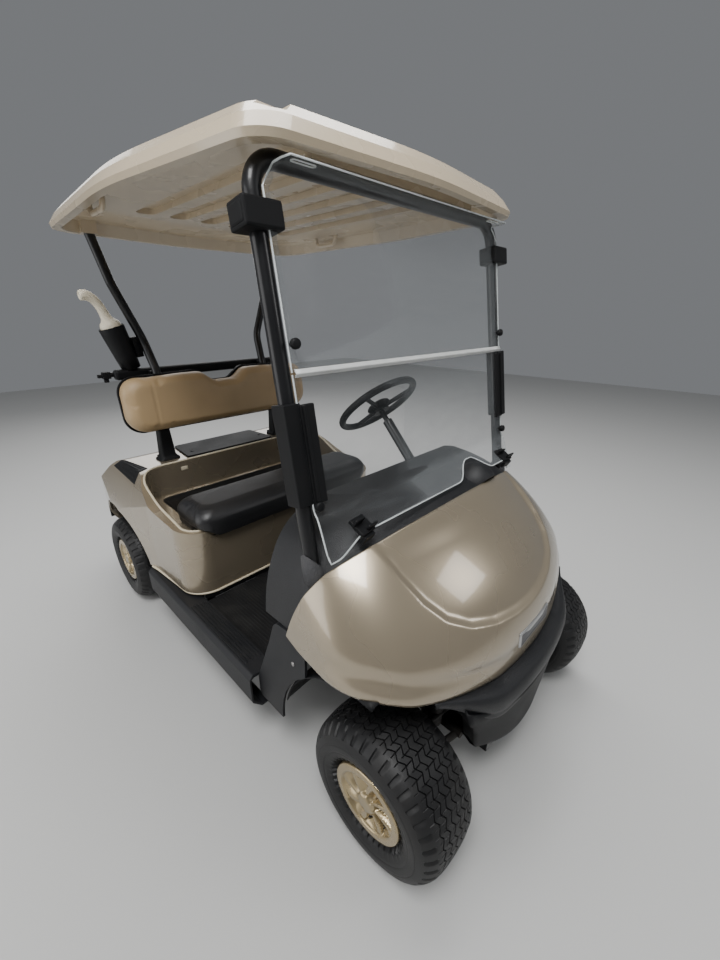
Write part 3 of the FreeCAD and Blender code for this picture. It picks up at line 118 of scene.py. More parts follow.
def group(name, inputs, outputs):
    """A new shader group with typed sockets."""
    tree = bpy.data.node_groups.new(name, "ShaderNodeTree")
    for label, kind, value in inputs:
        socket = tree.interface.new_socket(label, in_out="INPUT", socket_type=kind)
        socket.default_value = value
    for label, kind in outputs:
        tree.interface.new_socket(label, in_out="OUTPUT", socket_type=kind)
    return tree, tree.nodes.new("NodeGroupInput"), tree.nodes.new("NodeGroupOutput")


def wire(tree, *pairs):
    """Link pairs of sockets."""
    for start, end in pairs:
        tree.links.new(start, end)


def add_node(tree, kind, inputs=(), **settings):
    """A shader node with its settings and the values of its inputs."""
    made = tree.nodes.new(kind)
    for label, value in settings.items():
        setattr(made, label, value)
    for label, value in dict(inputs).items():
        made.inputs[label].default_value = value
    return made


grain, g_in, g_out = group("grain", [("Scale", "NodeSocketFloat", 400.0), ("Depth", "NodeSocketFloat", 0.3),
                                     ("Distance", "NodeSocketFloat", 0.001)], [("Normal", "NodeSocketVector")])
coord = add_node(grain, "ShaderNodeTexCoord")
cells = add_node(grain, "ShaderNodeTexVoronoi", feature="SMOOTH_F1")
noise = add_node(grain, "ShaderNodeTexNoise", {"Detail": 4})
blend = add_node(grain, "ShaderNodeMath", operation="ADD")
bump = add_node(grain, "ShaderNodeBump")
wire(grain, (coord.outputs["Object"], cells.inputs["Vector"]),
     (coord.outputs["Object"], noise.inputs["Vector"]),
     (g_in.outputs["Scale"], cells.inputs["Scale"]), (g_in.outputs["Scale"], noise.inputs["Scale"]),
     (cells.outputs["Distance"], blend.inputs[0]), (noise.outputs["Fac"], blend.inputs[1]),
     (blend.outputs[0], bump.inputs["Height"]), (g_in.outputs["Depth"], bump.inputs["Strength"]),
     (g_in.outputs["Distance"], bump.inputs["Distance"]), (bump.outputs["Normal"], g_out.inputs["Normal"]))

wear, w_in, w_out = group("wear", [("Color", "NodeSocketColor", (0.5, 0.5, 0.5, 1)),
                                   ("Dust", "NodeSocketColor", (0.4, 0.36, 0.3, 1)),
                                   ("Amount", "NodeSocketFloat", 0.3), ("Scale", "NodeSocketFloat", 6.0)],
                          [("Color", "NodeSocketColor"), ("Mask", "NodeSocketFloat")])
coord = add_node(wear, "ShaderNodeTexCoord")
broad = add_node(wear, "ShaderNodeTexNoise", {"Detail": 2.5, "Roughness": 0.5})
ramp = add_node(wear, "ShaderNodeMapRange", {"From Min": 0.42, "From Max": 0.75},
                interpolation_type="SMOOTHSTEP")
scale = add_node(wear, "ShaderNodeMath", operation="MULTIPLY")
mix = add_node(wear, "ShaderNodeMix", data_type="RGBA")
wire(wear, (coord.outputs["Object"], broad.inputs["Vector"]), (w_in.outputs["Scale"], broad.inputs["Scale"]),
     (broad.outputs["Fac"], ramp.inputs["Value"]), (ramp.outputs["Result"], scale.inputs[0]),
     (w_in.outputs["Amount"], scale.inputs[1]), (scale.outputs[0], mix.inputs["Factor"]),
     (w_in.outputs["Color"], mix.inputs["A"]), (w_in.outputs["Dust"], mix.inputs["B"]),
     (mix.outputs["Result"], w_out.inputs["Color"]), (scale.outputs[0], w_out.inputs["Mask"]))


def surface(name, color, rough, metallic=0.0, coat=0.0, dust=0.15, dust_color=(0.35, 0.32, 0.27),
            scale=6.0, grain_scale=0.0, grain_depth=0.3, grain_size=0.0006, rough_spread=0.08, specular=0.5):
    """A material: base colour with patchy dust, varied roughness and, where asked, a moulded grain."""
    mat = bpy.data.materials.new(name)
    mat.use_nodes = True
    tree = mat.node_tree
    bsdf = tree.nodes["Principled BSDF"]
    for label, value in (("Metallic", metallic), ("Coat Weight", coat), ("Coat Roughness", 0.06),
                         ("Specular IOR Level", specular)):
        bsdf.inputs[label].default_value = value
    worn = add_node(tree, "ShaderNodeGroup", {"Color": (*color, 1), "Dust": (*dust_color, 1), "Amount": dust,
                                              "Scale": scale}, node_tree=wear)
    spread = add_node(tree, "ShaderNodeMapRange", {"From Max": max(dust, 0.01), "To Min": rough,
                                                   "To Max": min(1.0, rough + rough_spread)})
    wire(tree, (worn.outputs["Color"], bsdf.inputs["Base Color"]),
         (worn.outputs["Mask"], spread.inputs["Value"]), (spread.outputs["Result"], bsdf.inputs["Roughness"]))
    if grain_scale:
        skin = add_node(tree, "ShaderNodeGroup", {"Scale": grain_scale, "Depth": grain_depth,
                                                  "Distance": grain_size}, node_tree=grain)
        wire(tree, (skin.outputs["Normal"], bsdf.inputs["Normal"]))
    return mat


def dress(mat, *nodes):
    """Give CAD nodes a material."""
    for node in nodes:
        obj = NODES[node]
        if not obj.material_slots:
            obj.data.materials.append(mat)
        for slot in obj.material_slots:
            slot.material = mat


black_steel = surface("black_steel", (0.005, 0.005, 0.006), 0.36, coat=0.2, dust=0.06, specular=0.35,
                      dust_color=(0.03, 0.03, 0.028), grain_scale=350, grain_depth=0.06)
cast_iron = surface("cast_iron", (0.045, 0.042, 0.040), 0.68, metallic=0.5, dust=0.4,
                    dust_color=(0.16, 0.12, 0.08), grain_scale=300, grain_depth=0.5)
rod_steel = surface("rod_steel", (0.32, 0.31, 0.30), 0.42, metallic=0.9, dust=0.35,
                    dust_color=(0.20, 0.15, 0.10), grain_scale=500, grain_depth=0.1)
battery_case = surface("battery_case", (0.012, 0.012, 0.013), 0.5, dust=0.3, dust_color=(0.06, 0.055, 0.05),
                       grain_scale=500, specular=0.3)
dress(black_steel, "frame")
dress(cast_iron, "front_suspension", "rear_axle", "rear_springs", "knuckle_left", "knuckle_right")
dress(rod_steel, "tie_rod")
dress(battery_case, "battery_pack")


# Tyres: four turf tyres of black rubber, each moulded in one piece. Zigzag ribs with cross cuts run
# round the tread, short blocks stand on the shoulders, and fine rings run round the walls.

SIDES = (("left", 1), ("right", -1))
AXLES = {"front": (0.450, -0.936), "rear": (0.489, 0.734)}
HUB_Z, TYRE_RADIUS = 0.222, 0.222
TREAD_HALF, CROWN_DROP = 0.0725, 0.0088
ZIGZAG_GROOVES = (0.011, 0.032, 0.053)
GROOVE_HALF, GROOVE_DEPTH, ZIGZAG = 0.0020, 0.0056, 0.0058
CROSS_CUT, CROSS_REACH, RIB_PITCH, BLOCK_GAP = 0.0040, 0.0665, 0.021, 0.0058
# Lines down the outer wall: distance from the middle, radius, share of the zigzag.
WALL_LINES = (
    (0.0655, 0.2160, 0.0), (0.0725, 0.2132, 0.0), (0.0750, 0.2122, 0.0), (0.0850, 0.2068, 0.0),
    (0.0950, 0.1985, 0.0), (0.0985, 0.1940, 0.0), (0.1000, 0.1915, 0.0), (0.1030, 0.1840, 0.0),
    (0.1050, 0.1780, 0.0), (0.1062, 0.1720, 0.0), (0.1055, 0.1710, 0.0), (0.1067, 0.1695, 0.0),
    (0.1068, 0.1640, 0.0), (0.1066, 0.1560, 0.0), (0.1056, 0.1500, 0.0), (0.1048, 0.1492, 0.0),
    (0.1052, 0.1478, 0.0), (0.1025, 0.1400, 0.0), (0.0990, 0.1310, 0.0), (0.0965, 0.1268, 0.0),
    (0.0930, 0.1245, 0.0), (0.0850, 0.1190, 0.0), (0.0770, 0.1140, 0.0), (0.0708, 0.1125, 0.0),
    (0.0700, 0.1035, 0.0),
)
# Shares of one zigzag where the tread has lines. A cross cut sits at the second or the seventh.
STEPS = (0.0, 0.045, 0.09, 0.25, 0.41, 0.5, 0.545, 0.59, 0.75, 0.91)
PERIODS = 38


def crown(x):
    """The tread's radius at a distance from the middle."""
    return TYRE_RADIUS - CROWN_DROP * (x / TREAD_HALF) ** 2.2


def tyre_lines():
    """Half the lines across: distance, radius, zigzag share, kind (0 rib, 1 groove, 2 shoulder)."""
    lines = [(0.0, crown(0), 1.0, 0), (0.0055, crown(0.0055), 1.0, 0)]
    for x in ZIGZAG_GROOVES:
        lines += [(x - GROOVE_HALF, crown(x - GROOVE_HALF), 1.0, 0),
                  (x - GROOVE_HALF * 0.5, crown(x) - GROOVE_DEPTH, 1.0, 1),
                  (x + GROOVE_HALF * 0.5, crown(x) - GROOVE_DEPTH, 1.0, 1),
                  (x + GROOVE_HALF, crown(x + GROOVE_HALF), 1.0, 0)]
        if x < 0.05:
            lines.append((x + 0.0105, crown(x + 0.0105), 1.0, 0))
    return lines + [(x, radius, share, 2 if 0.073 < x < 0.099 else 0) for x, radius, share in WALL_LINES]


def tyre_mesh():
    """The tyre's mesh about its own axis, along X."""
    half = tyre_lines()
    lines = [(-x, r, s, kind) for x, r, s, kind in reversed(half[1:])] + half
    points, faces = [], []
    columns = [(period + step, step) for period in range(PERIODS) for step in STEPS]
    for turn, step in columns:
        angle = 2 * math.pi * turn / PERIODS
        wave = abs(2 * ((turn + 0.02) % 1) - 1) * 2 - 1
        for x, radius, share, kind in lines:
            cut = 0.0
            if kind == 0 and abs(x) < CROSS_REACH:
                if step == STEPS[6 if int(abs(x) / RIB_PITCH) % 2 else 1]:
                    cut = CROSS_CUT
            if kind == 2 and step < 0.2:
                cut = BLOCK_GAP
            points.append((x + wave * ZIGZAG * share, (radius - cut) * math.cos(angle),
                           (radius - cut) * math.sin(angle)))
    count, across = len(columns), len(lines)
    for col in range(count):
        after = (col + 1) % count
        for row in range(across - 1):
            faces.append((col * across + row, col * across + row + 1, after * across + row + 1,
                          after * across + row))
    return points, faces


def on_wheels(name, mesh, node, turned=False):
    """Set a mesh on all four wheels for the CAD's node; turned faces it outwards on the right side too."""
    for axle, (track, axle_y) in AXLES.items():
        for side_name, side in SIDES:
            piece = link(bpy.data.objects.new(f"{name}_{axle}_{side_name}", mesh))
            piece.location = (side * track, axle_y, HUB_Z)
            piece.rotation_euler = (0, 0, math.pi if turned and side < 0 else 0)
            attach(piece, f"wheel_{axle}_{side_name}")
            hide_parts(f"{node}_{axle}_{side_name}")


rubber = surface("tyre_rubber", (0.0065, 0.0065, 0.007), 0.50, dust=0.22, dust_color=(0.032, 0.030, 0.027),
                 scale=14, grain_scale=600, grain_depth=0.25, specular=0.4)
tread = mesh_of("treaded_tyre", *tyre_mesh())
tread.materials.append(rubber)
body = bmesh.new()
body.from_mesh(tread)
for edge in body.edges:
    edge.smooth = edge.calc_face_angle(0) < math.radians(42)
body.to_mesh(tread)
body.free()
on_wheels("treaded_tyre", tread, "tyre")


# Rims and wheel covers: pressed steel rims in black, with a moulded cover in gold-beige paint clipped to each.
# Eight bladed spokes twist from a flat hub to a flat ring, with gaps between them. The gaps are sunk faces
# painted near black: the dark rim and painted shade seen through the openings.

SPOKES, COVER_RINGS, SPOKE_TWIST = 8, 46, 0.30
COVER_HUB, COVER_RING, COVER_EDGE = 0.024, 0.0915, 0.1108
COVER_FACE, COVER_BACK, COVER_DISH, GAP_DEPTH = 0.095, 0.0765, 0.0150, 0.006
# Shares of a spoke's pitch where its blade rises and falls, and of its length where the gap runs.
BLADE_RISE, BLADE_FALL, GAP_START, GAP_ALONG, GAP_SPAN = (0.13, 0.19), (0.40, 0.97), 0.19, (0.14, 0.88), 0.74
rim_paint = surface("rim_paint", (0.02, 0.02, 0.022), 0.42, dust=0.3, dust_color=(0.12, 0.11, 0.09),
                    grain_scale=400, grain_depth=0.1)
cover_paint = surface("cover_paint", (0.40, 0.315, 0.175), 0.27, metallic=0.8, coat=0.5, dust=0.25,
                      dust_color=(0.26, 0.21, 0.14), scale=14, grain_scale=900, grain_depth=0.05)
# Near black on the gap faces: the dark rim behind the openings and painted shade inside them.
gap_dark_and_shade = surface("cover_gap_dark_and_shade", (0.008, 0.008, 0.009), 0.6, dust=0.2, dust_color=(0.05, 0.045, 0.035))


def smooth(low, high, value):
    """A smooth step from 0 to 1 between two values."""
    share = min(1.0, max(0.0, (value - low) / (high - low)))
    return share * share * (3 - 2 * share)


def cover_height(radius, turn):
    """Height of the cover's face below its ring, and whether the place is a gap."""
    if radius >= COVER_RING or radius <= COVER_HUB:
        return (0.0 if radius >= COVER_RING else 0.001), False
    along = (radius - COVER_HUB) / (COVER_RING - COVER_HUB)
    local = (turn + SPOKE_TWIST * along ** 1.3) % 1.0
    dish = COVER_DISH * math.sin(math.pi * min(1, along * 1.08)) ** 0.55
    blade = smooth(*BLADE_RISE, local) * (1 - smooth(*BLADE_FALL, local))
    gap_width = 0.19 * math.sin(math.pi * min(1, max(0, (along - GAP_ALONG[0]) / GAP_SPAN)))
    gap = GAP_ALONG[0] < along < GAP_ALONG[1] and GAP_START < local < GAP_START + gap_width
    depth = (dish * blade + 0.0012) * smooth(0.0, 0.08, along) * (1 - smooth(0.94, 1.0, along) * 0.85)
    return -(depth + GAP_DEPTH if gap else depth), gap


def turns(count):
    """Angles spaced evenly round a full turn."""
    return [2 * math.pi * k / count for k in range(count)]


# The face's rings from the middle out, those that lie lower at the edge, and the sunk band of spokes.
radii = [0.012, 0.022, 0.0255] + [0.029 + 0.0635 * k / (COVER_RINGS - 1) for k in range(COVER_RINGS)]
radii += [0.0945, 0.100, 0.106, 0.109, COVER_EDGE]
RING_DROP, SUNK_BAND, SUNK = {0.109: -0.0012, COVER_EDGE: -0.0045}, (0.03, 0.088), 0.004
cover_points, cover_faces, gap_faces = [], [], []
around = SPOKES * 30
for radius in radii:
    for step, angle in enumerate(turns(around)):
        height = cover_height(radius, step / around * SPOKES)[0] + RING_DROP.get(radius, 0.0)
        height -= SUNK if SUNK_BAND[0] < radius < SUNK_BAND[1] else 0.0
        cover_points.append((COVER_FACE + height, radius * math.cos(angle), radius * math.sin(angle)))
cover_points += [(COVER_BACK, COVER_EDGE * math.cos(angle), COVER_EDGE * math.sin(angle))
                 for angle in turns(around)]
for row in range(len(radii)):
    middle = (radii[row] + radii[min(row + 1, len(radii) - 1)]) / 2
    for step in range(around):
        after = (step + 1) % around
        cover_faces.append((row * around + step, row * around + after, (row + 1) * around + after,
                            (row + 1) * around + step))
        gap_faces.append(cover_height(middle, (step + 0.5) / around * SPOKES)[1])
cover_faces.append(tuple(reversed(range(around))))
gap_faces.append(False)
cover = mesh_of("spoked_cover", cover_points, cover_faces)
cover.materials.append(cover_paint)
cover.materials.append(gap_dark_and_shade)
cover.polygons.foreach_set("material_index", [int(gap) for gap in gap_faces])
on_wheels("spoked_cover", cover, "wheel_cover", turned=True)
dress(rim_paint, "rim_front_left", "rim_front_right", "rim_rear_left", "rim_rear_right")


# Floor and sills: a moulded black floor under a ribbed rubber mat, and a grey sill along each side
# with grip ribs where the riders step in. The grey leg panels close the space behind each arch.

moulded_black = surface("black_moulding", (0.006, 0.0062, 0.007), 0.52, dust=0.12, specular=0.2,
                        dust_color=(0.026, 0.025, 0.023), grain_scale=900, grain_depth=0.35, grain_size=0.0005)
moulded_grey = surface("grey_moulding", (0.013, 0.0135, 0.0155), 0.52, dust=0.25, specular=0.3,
                       dust_color=(0.042, 0.040, 0.037), grain_scale=700, grain_depth=0.3, grain_size=0.0005)
mat_rubber = surface("mat_rubber", (0.006, 0.006, 0.0065), 0.62, dust=0.3, dust_color=(0.030, 0.029, 0.026),
                     scale=10, grain_scale=800, grain_depth=0.3, specular=0.3)
dress(moulded_black, "floor")
dress(moulded_grey, "rocker_panels", "leg_panels")
dress(black_steel, "pedals")


def strips(name, sections, mat, body="chassis", closed=False, smooth_shade=True):
    """A skin through equal rows of points, as a piece that rides on a body."""
    across = len(sections[0])
    points = [point for row in sections for point in row]
    faces = []
    for row in range(len(sections) - 1):
        for col in range(across if closed else across - 1):
            after = (col + 1) % across
            faces.append((row * across + col, row * across + after, (row + 1) * across + after,
                          (row + 1) * across + col))
    piece = from_lists(name, points, faces, smooth_shade)
    piece.data.materials.append(mat)
    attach(piece, body)
    return piece


def walled(piece, thickness, offset=-1):
    """Give a skin its wall, inwards from the skin or (offset 0) on both sides of it."""
    wall = piece.modifiers.new("wall", "SOLIDIFY")
    wall.thickness = thickness
    wall.offset = offset


MAT_HALF, RIB_STEP, RIB_HIGH = 0.482, 0.0125, 0.0022
rib_line = []
for index in range(int(2 * MAT_HALF / RIB_STEP)):
    left = -MAT_HALF + index * RIB_STEP
    rib_line += [(left, 0.0008), (left + 0.0062, 0.0008), (left + 0.0072, RIB_HIGH), (left + 0.0115, RIB_HIGH)]
mat_rows = [[(x, y, z + high) for x, high in rib_line]
            for y, z in ((0.022, 0.300), (-0.470, 0.300), (-0.500, 0.304), (-0.530, 0.325), (-0.672, 0.502))]
strips("floor_mat", mat_rows, mat_rubber, smooth_shade=False)

# Raised ribs run along each sill where the riders step in, over its slope.
SILL_X, SILL_Z, SILL_SLOPE, SILL_RIBS = 0.4880, 0.3102, 0.1625, 6
for side_name, side in SIDES:
    rows = []
    for y, fade in ((0.012, 0.0), (0.006, 1.0), (-0.120, 1.0), (-0.260, 1.0), (-0.392, 1.0), (-0.398, 0.0)):
        row = []
        for index in range(SILL_RIBS):
            for dx, high in ((0.0, -0.0012), (0.0008, 0.0026), (0.0082, 0.0026), (0.0090, -0.0012)):
                x = SILL_X + index * RIB_STEP + dx
                z = SILL_Z + (x - 0.490) * SILL_SLOPE + (high * fade if high > 0 else high)
                row.append((side * x, y, z))
        rows.append(row)
    strips(f"sill_ribs_{side_name}", rows, moulded_grey, smooth_shade=False)

# A dark liner arches over each front wheel, from behind the leg panel to under the cowl.
ARCH_RADIUS, ARCH_START, ARCH_TURN = 0.352, 14, 78
ARCH_SECTION = ((0.235, 0.0), (0.345, -0.004), (0.450, -0.004), (0.525, 0.0), (0.538, 0.005))
for side_name, side in SIDES:
    rows = []
    for step in range(25):
        angle = math.radians(ARCH_START + ARCH_TURN * step / 24)
        rows.append([(side * x, AXLES["front"][1] + (ARCH_RADIUS - dip) * math.cos(angle),
                      HUB_Z + (ARCH_RADIUS - dip) * math.sin(angle)) for x, dip in ARCH_SECTION])
    walled(strips(f"wheel_liner_{side_name}", rows, moulded_black), 0.003, 0)


# Front cowl: one thermoformed shell in champagne metallic paint under clear coat. A shallow U is
# pressed into its top, its lower edge flares over the arches, and a blank plate sits above the bumper.

FRONT = AXLES["front"][1]
# The nose's section at each height: height, half width, reach ahead of the axle, nose and corner radius.
NOSE_LEVELS = (
    (0.480, 0.562, 0.168, 1.150, 0.210), (0.600, 0.557, 0.158, 1.100, 0.220),
    (0.700, 0.547, 0.106, 1.000, 0.240), (0.800, 0.517, 0.016, 0.900, 0.260),
    (0.880, 0.462, -0.084, 0.820, 0.270), (0.903, 0.428, -0.140, 0.790, 0.268),
    (0.928, 0.372, -0.248, 0.760, 0.266),
)
# Edge lines as (y behind the axle, z), and the pressed panel's half outline as (x, z).
REAR_EDGE = ((0.055, 1.010), (0.100, 0.925), (0.122, 0.893), (0.150, 0.862), (0.197, 0.812), (0.228, 0.755),
             (0.250, 0.702), (0.270, 0.650), (0.284, 0.608))
LOWER_EDGE = ((-0.300, 0.5000), (-0.152, 0.5000), (-0.140, 0.509), (-0.110, 0.530), (-0.080, 0.550),
              (-0.045, 0.565), (-0.010, 0.5735), (0.060, 0.5735), (0.130, 0.5735), (0.180, 0.580),
              (0.230, 0.589), (0.262, 0.600), (0.284, 0.608))
PANEL_LINE = ((-0.3720, 1.10), (-0.3660, 0.860), (-0.3600, 0.805), (-0.3420, 0.750), (-0.3080, 0.705),
              (-0.2500, 0.673), (-0.1700, 0.653), (-0.0850, 0.6435), (0.0, 0.6400))
PRESS_DEPTH, PRESS_DEEPER, PRESS_BEVEL, PRESS_HALF = 0.0062, 0.0050, 0.0230, 0.372
FLARE, FLARE_HEIGHT, FLARE_SPREAD = 0.0085, 0.050, 0.024
# Shares of the way round where the nose's arc and the corner's arc end, and the side's end.
NOSE_ARC_END, CORNER_ARC_END, SIDE_END = 0.42, 0.78, 0.284


def along_levels(z):
    """Half width, nose reach, nose radius and corner radius at a height."""
    levels = [row[0] for row in NOSE_LEVELS]
    index = max(0, min(len(levels) - 2, sum(1 for level in levels if level <= z) - 1))
    span = levels[index + 1] - levels[index]
    share = (z - levels[index]) / span
    out = []
    for col in range(1, 5):
        values = [row[col] for row in NOSE_LEVELS]

        def slope(k):
            low, high = max(0, k - 1), min(len(levels) - 1, k + 1)
            return (values[high] - values[low]) / (levels[high] - levels[low])

        a, b = values[index], values[index + 1]
        ta, tb = slope(index) * span, slope(index + 1) * span
        s2, s3 = share * share, share ** 3
        out.append((2 * s3 - 3 * s2 + 1) * a + (s3 - 2 * s2 + share) * ta
                   + (3 * s2 - 2 * s3) * b + (s3 - s2) * tb)
    return out


def nose_point(place, z):
    """A point of the nose's skin: place 0 to 1 from the middle round the corner to the side's end."""
    half, ahead, nose_radius, corner = along_levels(z)
    nose_y = FRONT - ahead
    centre_y = nose_y + nose_radius
    span = nose_radius - corner
    corner_y = centre_y - math.sqrt(max(1e-9, span ** 2 - (half - corner) ** 2))
    turn = math.atan2(half - corner, centre_y - corner_y)
    if place < NOSE_ARC_END:
        angle = turn * place / NOSE_ARC_END
        return nose_radius * math.sin(angle), centre_y - nose_radius * math.cos(angle)
    if place < CORNER_ARC_END:
        angle = turn + (math.pi / 2 - turn) * (place - NOSE_ARC_END) / (CORNER_ARC_END - NOSE_ARC_END)
        return half - corner + corner * math.sin(angle), corner_y - corner * math.cos(angle)
    share = (place - CORNER_ARC_END) / (1 - CORNER_ARC_END)
    return half, corner_y + share * (FRONT + SIDE_END - corner_y)


def crossing(place, line, low, high):
    """The height where the skin meets an edge line given as (y from the axle, z)."""
    for _ in range(26):
        middle = (low + high) / 2
        if middle < np.interp(nose_point(place, middle)[1] - FRONT, *zip(*line)):
            low = middle
        else:
            high = middle
    return low


def press_share(x, z):
    """How far a place lies inside the pressed panel, as a share of its bevel."""
    if abs(x) > PRESS_HALF or z <= np.interp(-abs(x), *zip(*PANEL_LINE)):
        return 0.0
    best = 9.0
    for (x0, z0), (x1, z1) in zip(PANEL_LINE, PANEL_LINE[1:]):
        dx, dz = x1 - x0, z1 - z0
        t = max(0.0, min(1.0, ((-abs(x) - x0) * dx + (z - z0) * dz) / (dx * dx + dz * dz)))
        best = min(best, math.hypot(-abs(x) - x0 - t * dx, z - z0 - t * dz))
    return 1 - (1 - min(1.0, best / PRESS_BEVEL)) ** 1.8


COWL_COLS, COWL_ROWS = 300, 104
places = [abs(2 * col / COWL_COLS - 1) for col in range(COWL_COLS + 1)]
LOW_RANGE, REAR_RANGE = (0.4999, 0.62), (0.56, 0.9279)
edges = {place: (crossing(place, LOWER_EDGE, *LOW_RANGE), crossing(place, REAR_EDGE, *REAR_RANGE))
         for place in set(places)}
cowl_rows = []
for row in range(COWL_ROWS + 1):
    share = row / COWL_ROWS
    line = []
    for col, place in enumerate(places):
        low, high = edges[place]
        z = low + (max(high, low + 0.0008) - low) * (share ** 0.82)
        x, y = nose_point(place, z)
        line.append((x if col > COWL_COLS / 2 else -x, y, z))
    cowl_rows.append(line)
grid = np.array(cowl_rows)
d_col = np.gradient(grid, axis=1)
d_row = np.gradient(grid, axis=0)
normal = np.cross(d_row, d_col)
normal /= np.maximum(np.linalg.norm(normal, axis=2, keepdims=True), 1e-9)
if normal[40, COWL_COLS // 2, 1] > 0:
    normal = -normal
move = np.zeros(grid.shape[:2])
for row in range(COWL_ROWS + 1):
    for col in range(COWL_COLS + 1):
        x, y, z = grid[row, col]
        height = z - edges[places[col]][0]
        front_share = (1 - smooth(-0.02, 0.20, y - FRONT)) * (0.25 + 0.75 * smooth(0.12, 0.34, abs(x)))
        deeper = PRESS_DEEPER * smooth(0.010, 0.060, edges[places[col]][1] - z)
        flare = math.exp(-((height - FLARE_HEIGHT) / FLARE_SPREAD) ** 2) * front_share
        move[row, col] = (PRESS_DEPTH + deeper) * press_share(x, z) + FLARE * flare
grid = grid - normal * move[:, :, None]
champagne = surface("champagne_paint", (0.350, 0.292, 0.208), 0.27, metallic=0.62, coat=1.0, dust=0.07,
                    dust_color=(0.36, 0.32, 0.25), scale=3, rough_spread=0.05, grain_scale=1600,
                    grain_depth=0.025, grain_size=0.0002)
cowl = strips("cowl_shell", grid.tolist(), champagne)
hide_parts("front_cowl")
walled(cowl, 0.0045)


def skin_tree(data):
    """A mesh made ready for rays."""
    return BVHTree.FromPolygons([v.co for v in data.vertices], [p.vertices for p in data.polygons])


def rounded_ring(half_u, half_v, radius, steps=7):
    """A rounded rectangle's outline about the middle."""
    ring = []
    for corner, (su, sv) in enumerate(((1, 1), (-1, 1), (-1, -1), (1, -1))):
        for step in range(steps + 1):
            angle = math.pi / 2 * (corner + step / steps)
            ring.append((su * (half_u - radius) + radius * math.cos(angle),
                         sv * (half_v - radius) + radius * math.sin(angle)))
    return ring


plate_steel = surface("plate_frame", (0.50, 0.50, 0.50), 0.28, metallic=0.85, dust=0.15,
                      dust_color=(0.2, 0.19, 0.17), grain_scale=700, grain_depth=0.05)
plate_face = surface("plate_face", (0.10, 0.10, 0.105), 0.4, metallic=0.3, dust=0.2,
                     dust_color=(0.15, 0.14, 0.13), grain_scale=900, grain_depth=0.2)
PLATE_Z = 0.567
# The plate's layers: half width, half height, corner radius and how far each stands off the cowl.
PLATE = (("plate_rim", 0.096, 0.0240, 0.006, 0.0040, plate_steel),
         ("plate_blank", 0.0905, 0.0185, 0.003, 0.0047, plate_face))
cowl_tree = skin_tree(cowl.data)
for name, half_u, half_v, radius, stand, mat in PLATE:
    rows = []
    for scale_ring, lift in ((1.0, 0.0005), (0.985, stand * 0.8), (0.955, stand), (0.5, stand), (0.02, stand)):
        ring = []
        for u, v in rounded_ring(half_u, half_v, radius):
            spot = Vector((u * scale_ring, -1.25, PLATE_Z + v * scale_ring))
            hit, face_normal = cowl_tree.ray_cast(spot, Vector((0, 1, 0)))[:2]
            face_normal = face_normal if face_normal.y < 0 else -face_normal
            ring.append(tuple(hit + face_normal * lift))
        rows.append(ring)
    strips(name, rows, mat, closed=True)


# Front bumper: a thick black moulded roll round the nose with a pebbled skin. A dark apron hangs
# below it between the wheels, in the same moulding.

ROLL_OUT, ROLL_TOP, ROLL_END, ROLL_TAPER, ROLL_STEPS = 0.0460, 0.4990, 0.400, 0.20, 36
# The roll's section: share of its reach outwards from the cowl's edge, and height.
ROLL = ((-0.40, 0.4985), (0.05, 0.4988), (0.40, 0.4975), (0.66, 0.4920), (0.86, 0.4820), (0.97, 0.4690),
        (1.00, 0.4560), (0.99, 0.4430), (0.93, 0.4330), (0.86, 0.4270), (0.835, 0.4240), (0.83, 0.4190),
        (0.85, 0.4130), (0.83, 0.4060), (0.70, 0.4010), (0.20, 0.3990), (-0.40, 0.3990))
pebbled = surface("pebbled_moulding", (0.006, 0.0064, 0.0078), 0.44, dust=0.12, specular=0.45,
                  dust_color=(0.026, 0.026, 0.026), grain_scale=420, grain_depth=0.75, grain_size=0.0011)
roll_rows = []
end_place = next(k / 400 for k in range(400) if nose_point(k / 400, 0.5)[0] > ROLL_END)
for step in range(-ROLL_STEPS, ROLL_STEPS + 1):
    place = abs(step) / ROLL_STEPS * end_place
    edge_z = crossing(place, LOWER_EDGE, *LOW_RANGE)
    (x, y), (ahead_x, ahead_y) = nose_point(place, edge_z), nose_point(place + 0.004, edge_z)
    out = Vector((ahead_y - y, x - ahead_x)).normalized()
    side = -1 if step < 0 else 1
    taper = 1 - smooth(ROLL_TAPER, ROLL_END, x)
    reach = ROLL_OUT * (0.10 + 0.90 * taper)
    roll_rows.append([(side * (x + out.x * reach * share), y + out.y * reach * share,
                       edge_z - 0.0010 - (ROLL_TOP - z) * (0.16 + 0.84 * taper)) for share, z in ROLL])
roll = strips("bumper_roll", roll_rows, pebbled)
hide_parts("front_bumper")
walled(roll, 0.004)

# The apron's half widths at its heights leave room for the steered tyres. Its top runs up behind the
# roll at both ends.
APRON_HALVES = ((0.430, 0.330), (0.410, 0.300), (0.380, 0.274), (0.320, 0.248), (0.265, 0.230),
                (0.235, 0.215), (0.222, 0.208), (0.216, 0.205))
APRON_FRONT, APRON_TOP, APRON_LOW, APRON_FALL = -1.1440, 0.430, 0.220, 0.215
FACE_STEPS, RETURN_STEPS, RETURN_DEPTH = 20, 6, 0.045
apron_rows = []
for step in range(-FACE_STEPS - RETURN_STEPS, FACE_STEPS + RETURN_STEPS + 1):
    share = max(-1.0, min(1.0, step / FACE_STEPS))
    back = max(0, abs(step) - FACE_STEPS) / RETURN_STEPS
    row = []
    for z, half in APRON_HALVES:
        y = APRON_FRONT + 0.062 * abs(share) ** 2.4 + 0.018 * (APRON_TOP - z) / APRON_FALL
        y += RETURN_DEPTH * back + (0.020 if z < APRON_LOW else 0.0)
        rise = 0.052 * abs(share) ** 4 if z == APRON_TOP else 0.0
        row.append(((half - 0.014 * math.sin(back * math.pi / 2)) * share, y, z + rise))
    apron_rows.append(row)
walled(strips("bumper_apron", apron_rows, moulded_black), 0.005)


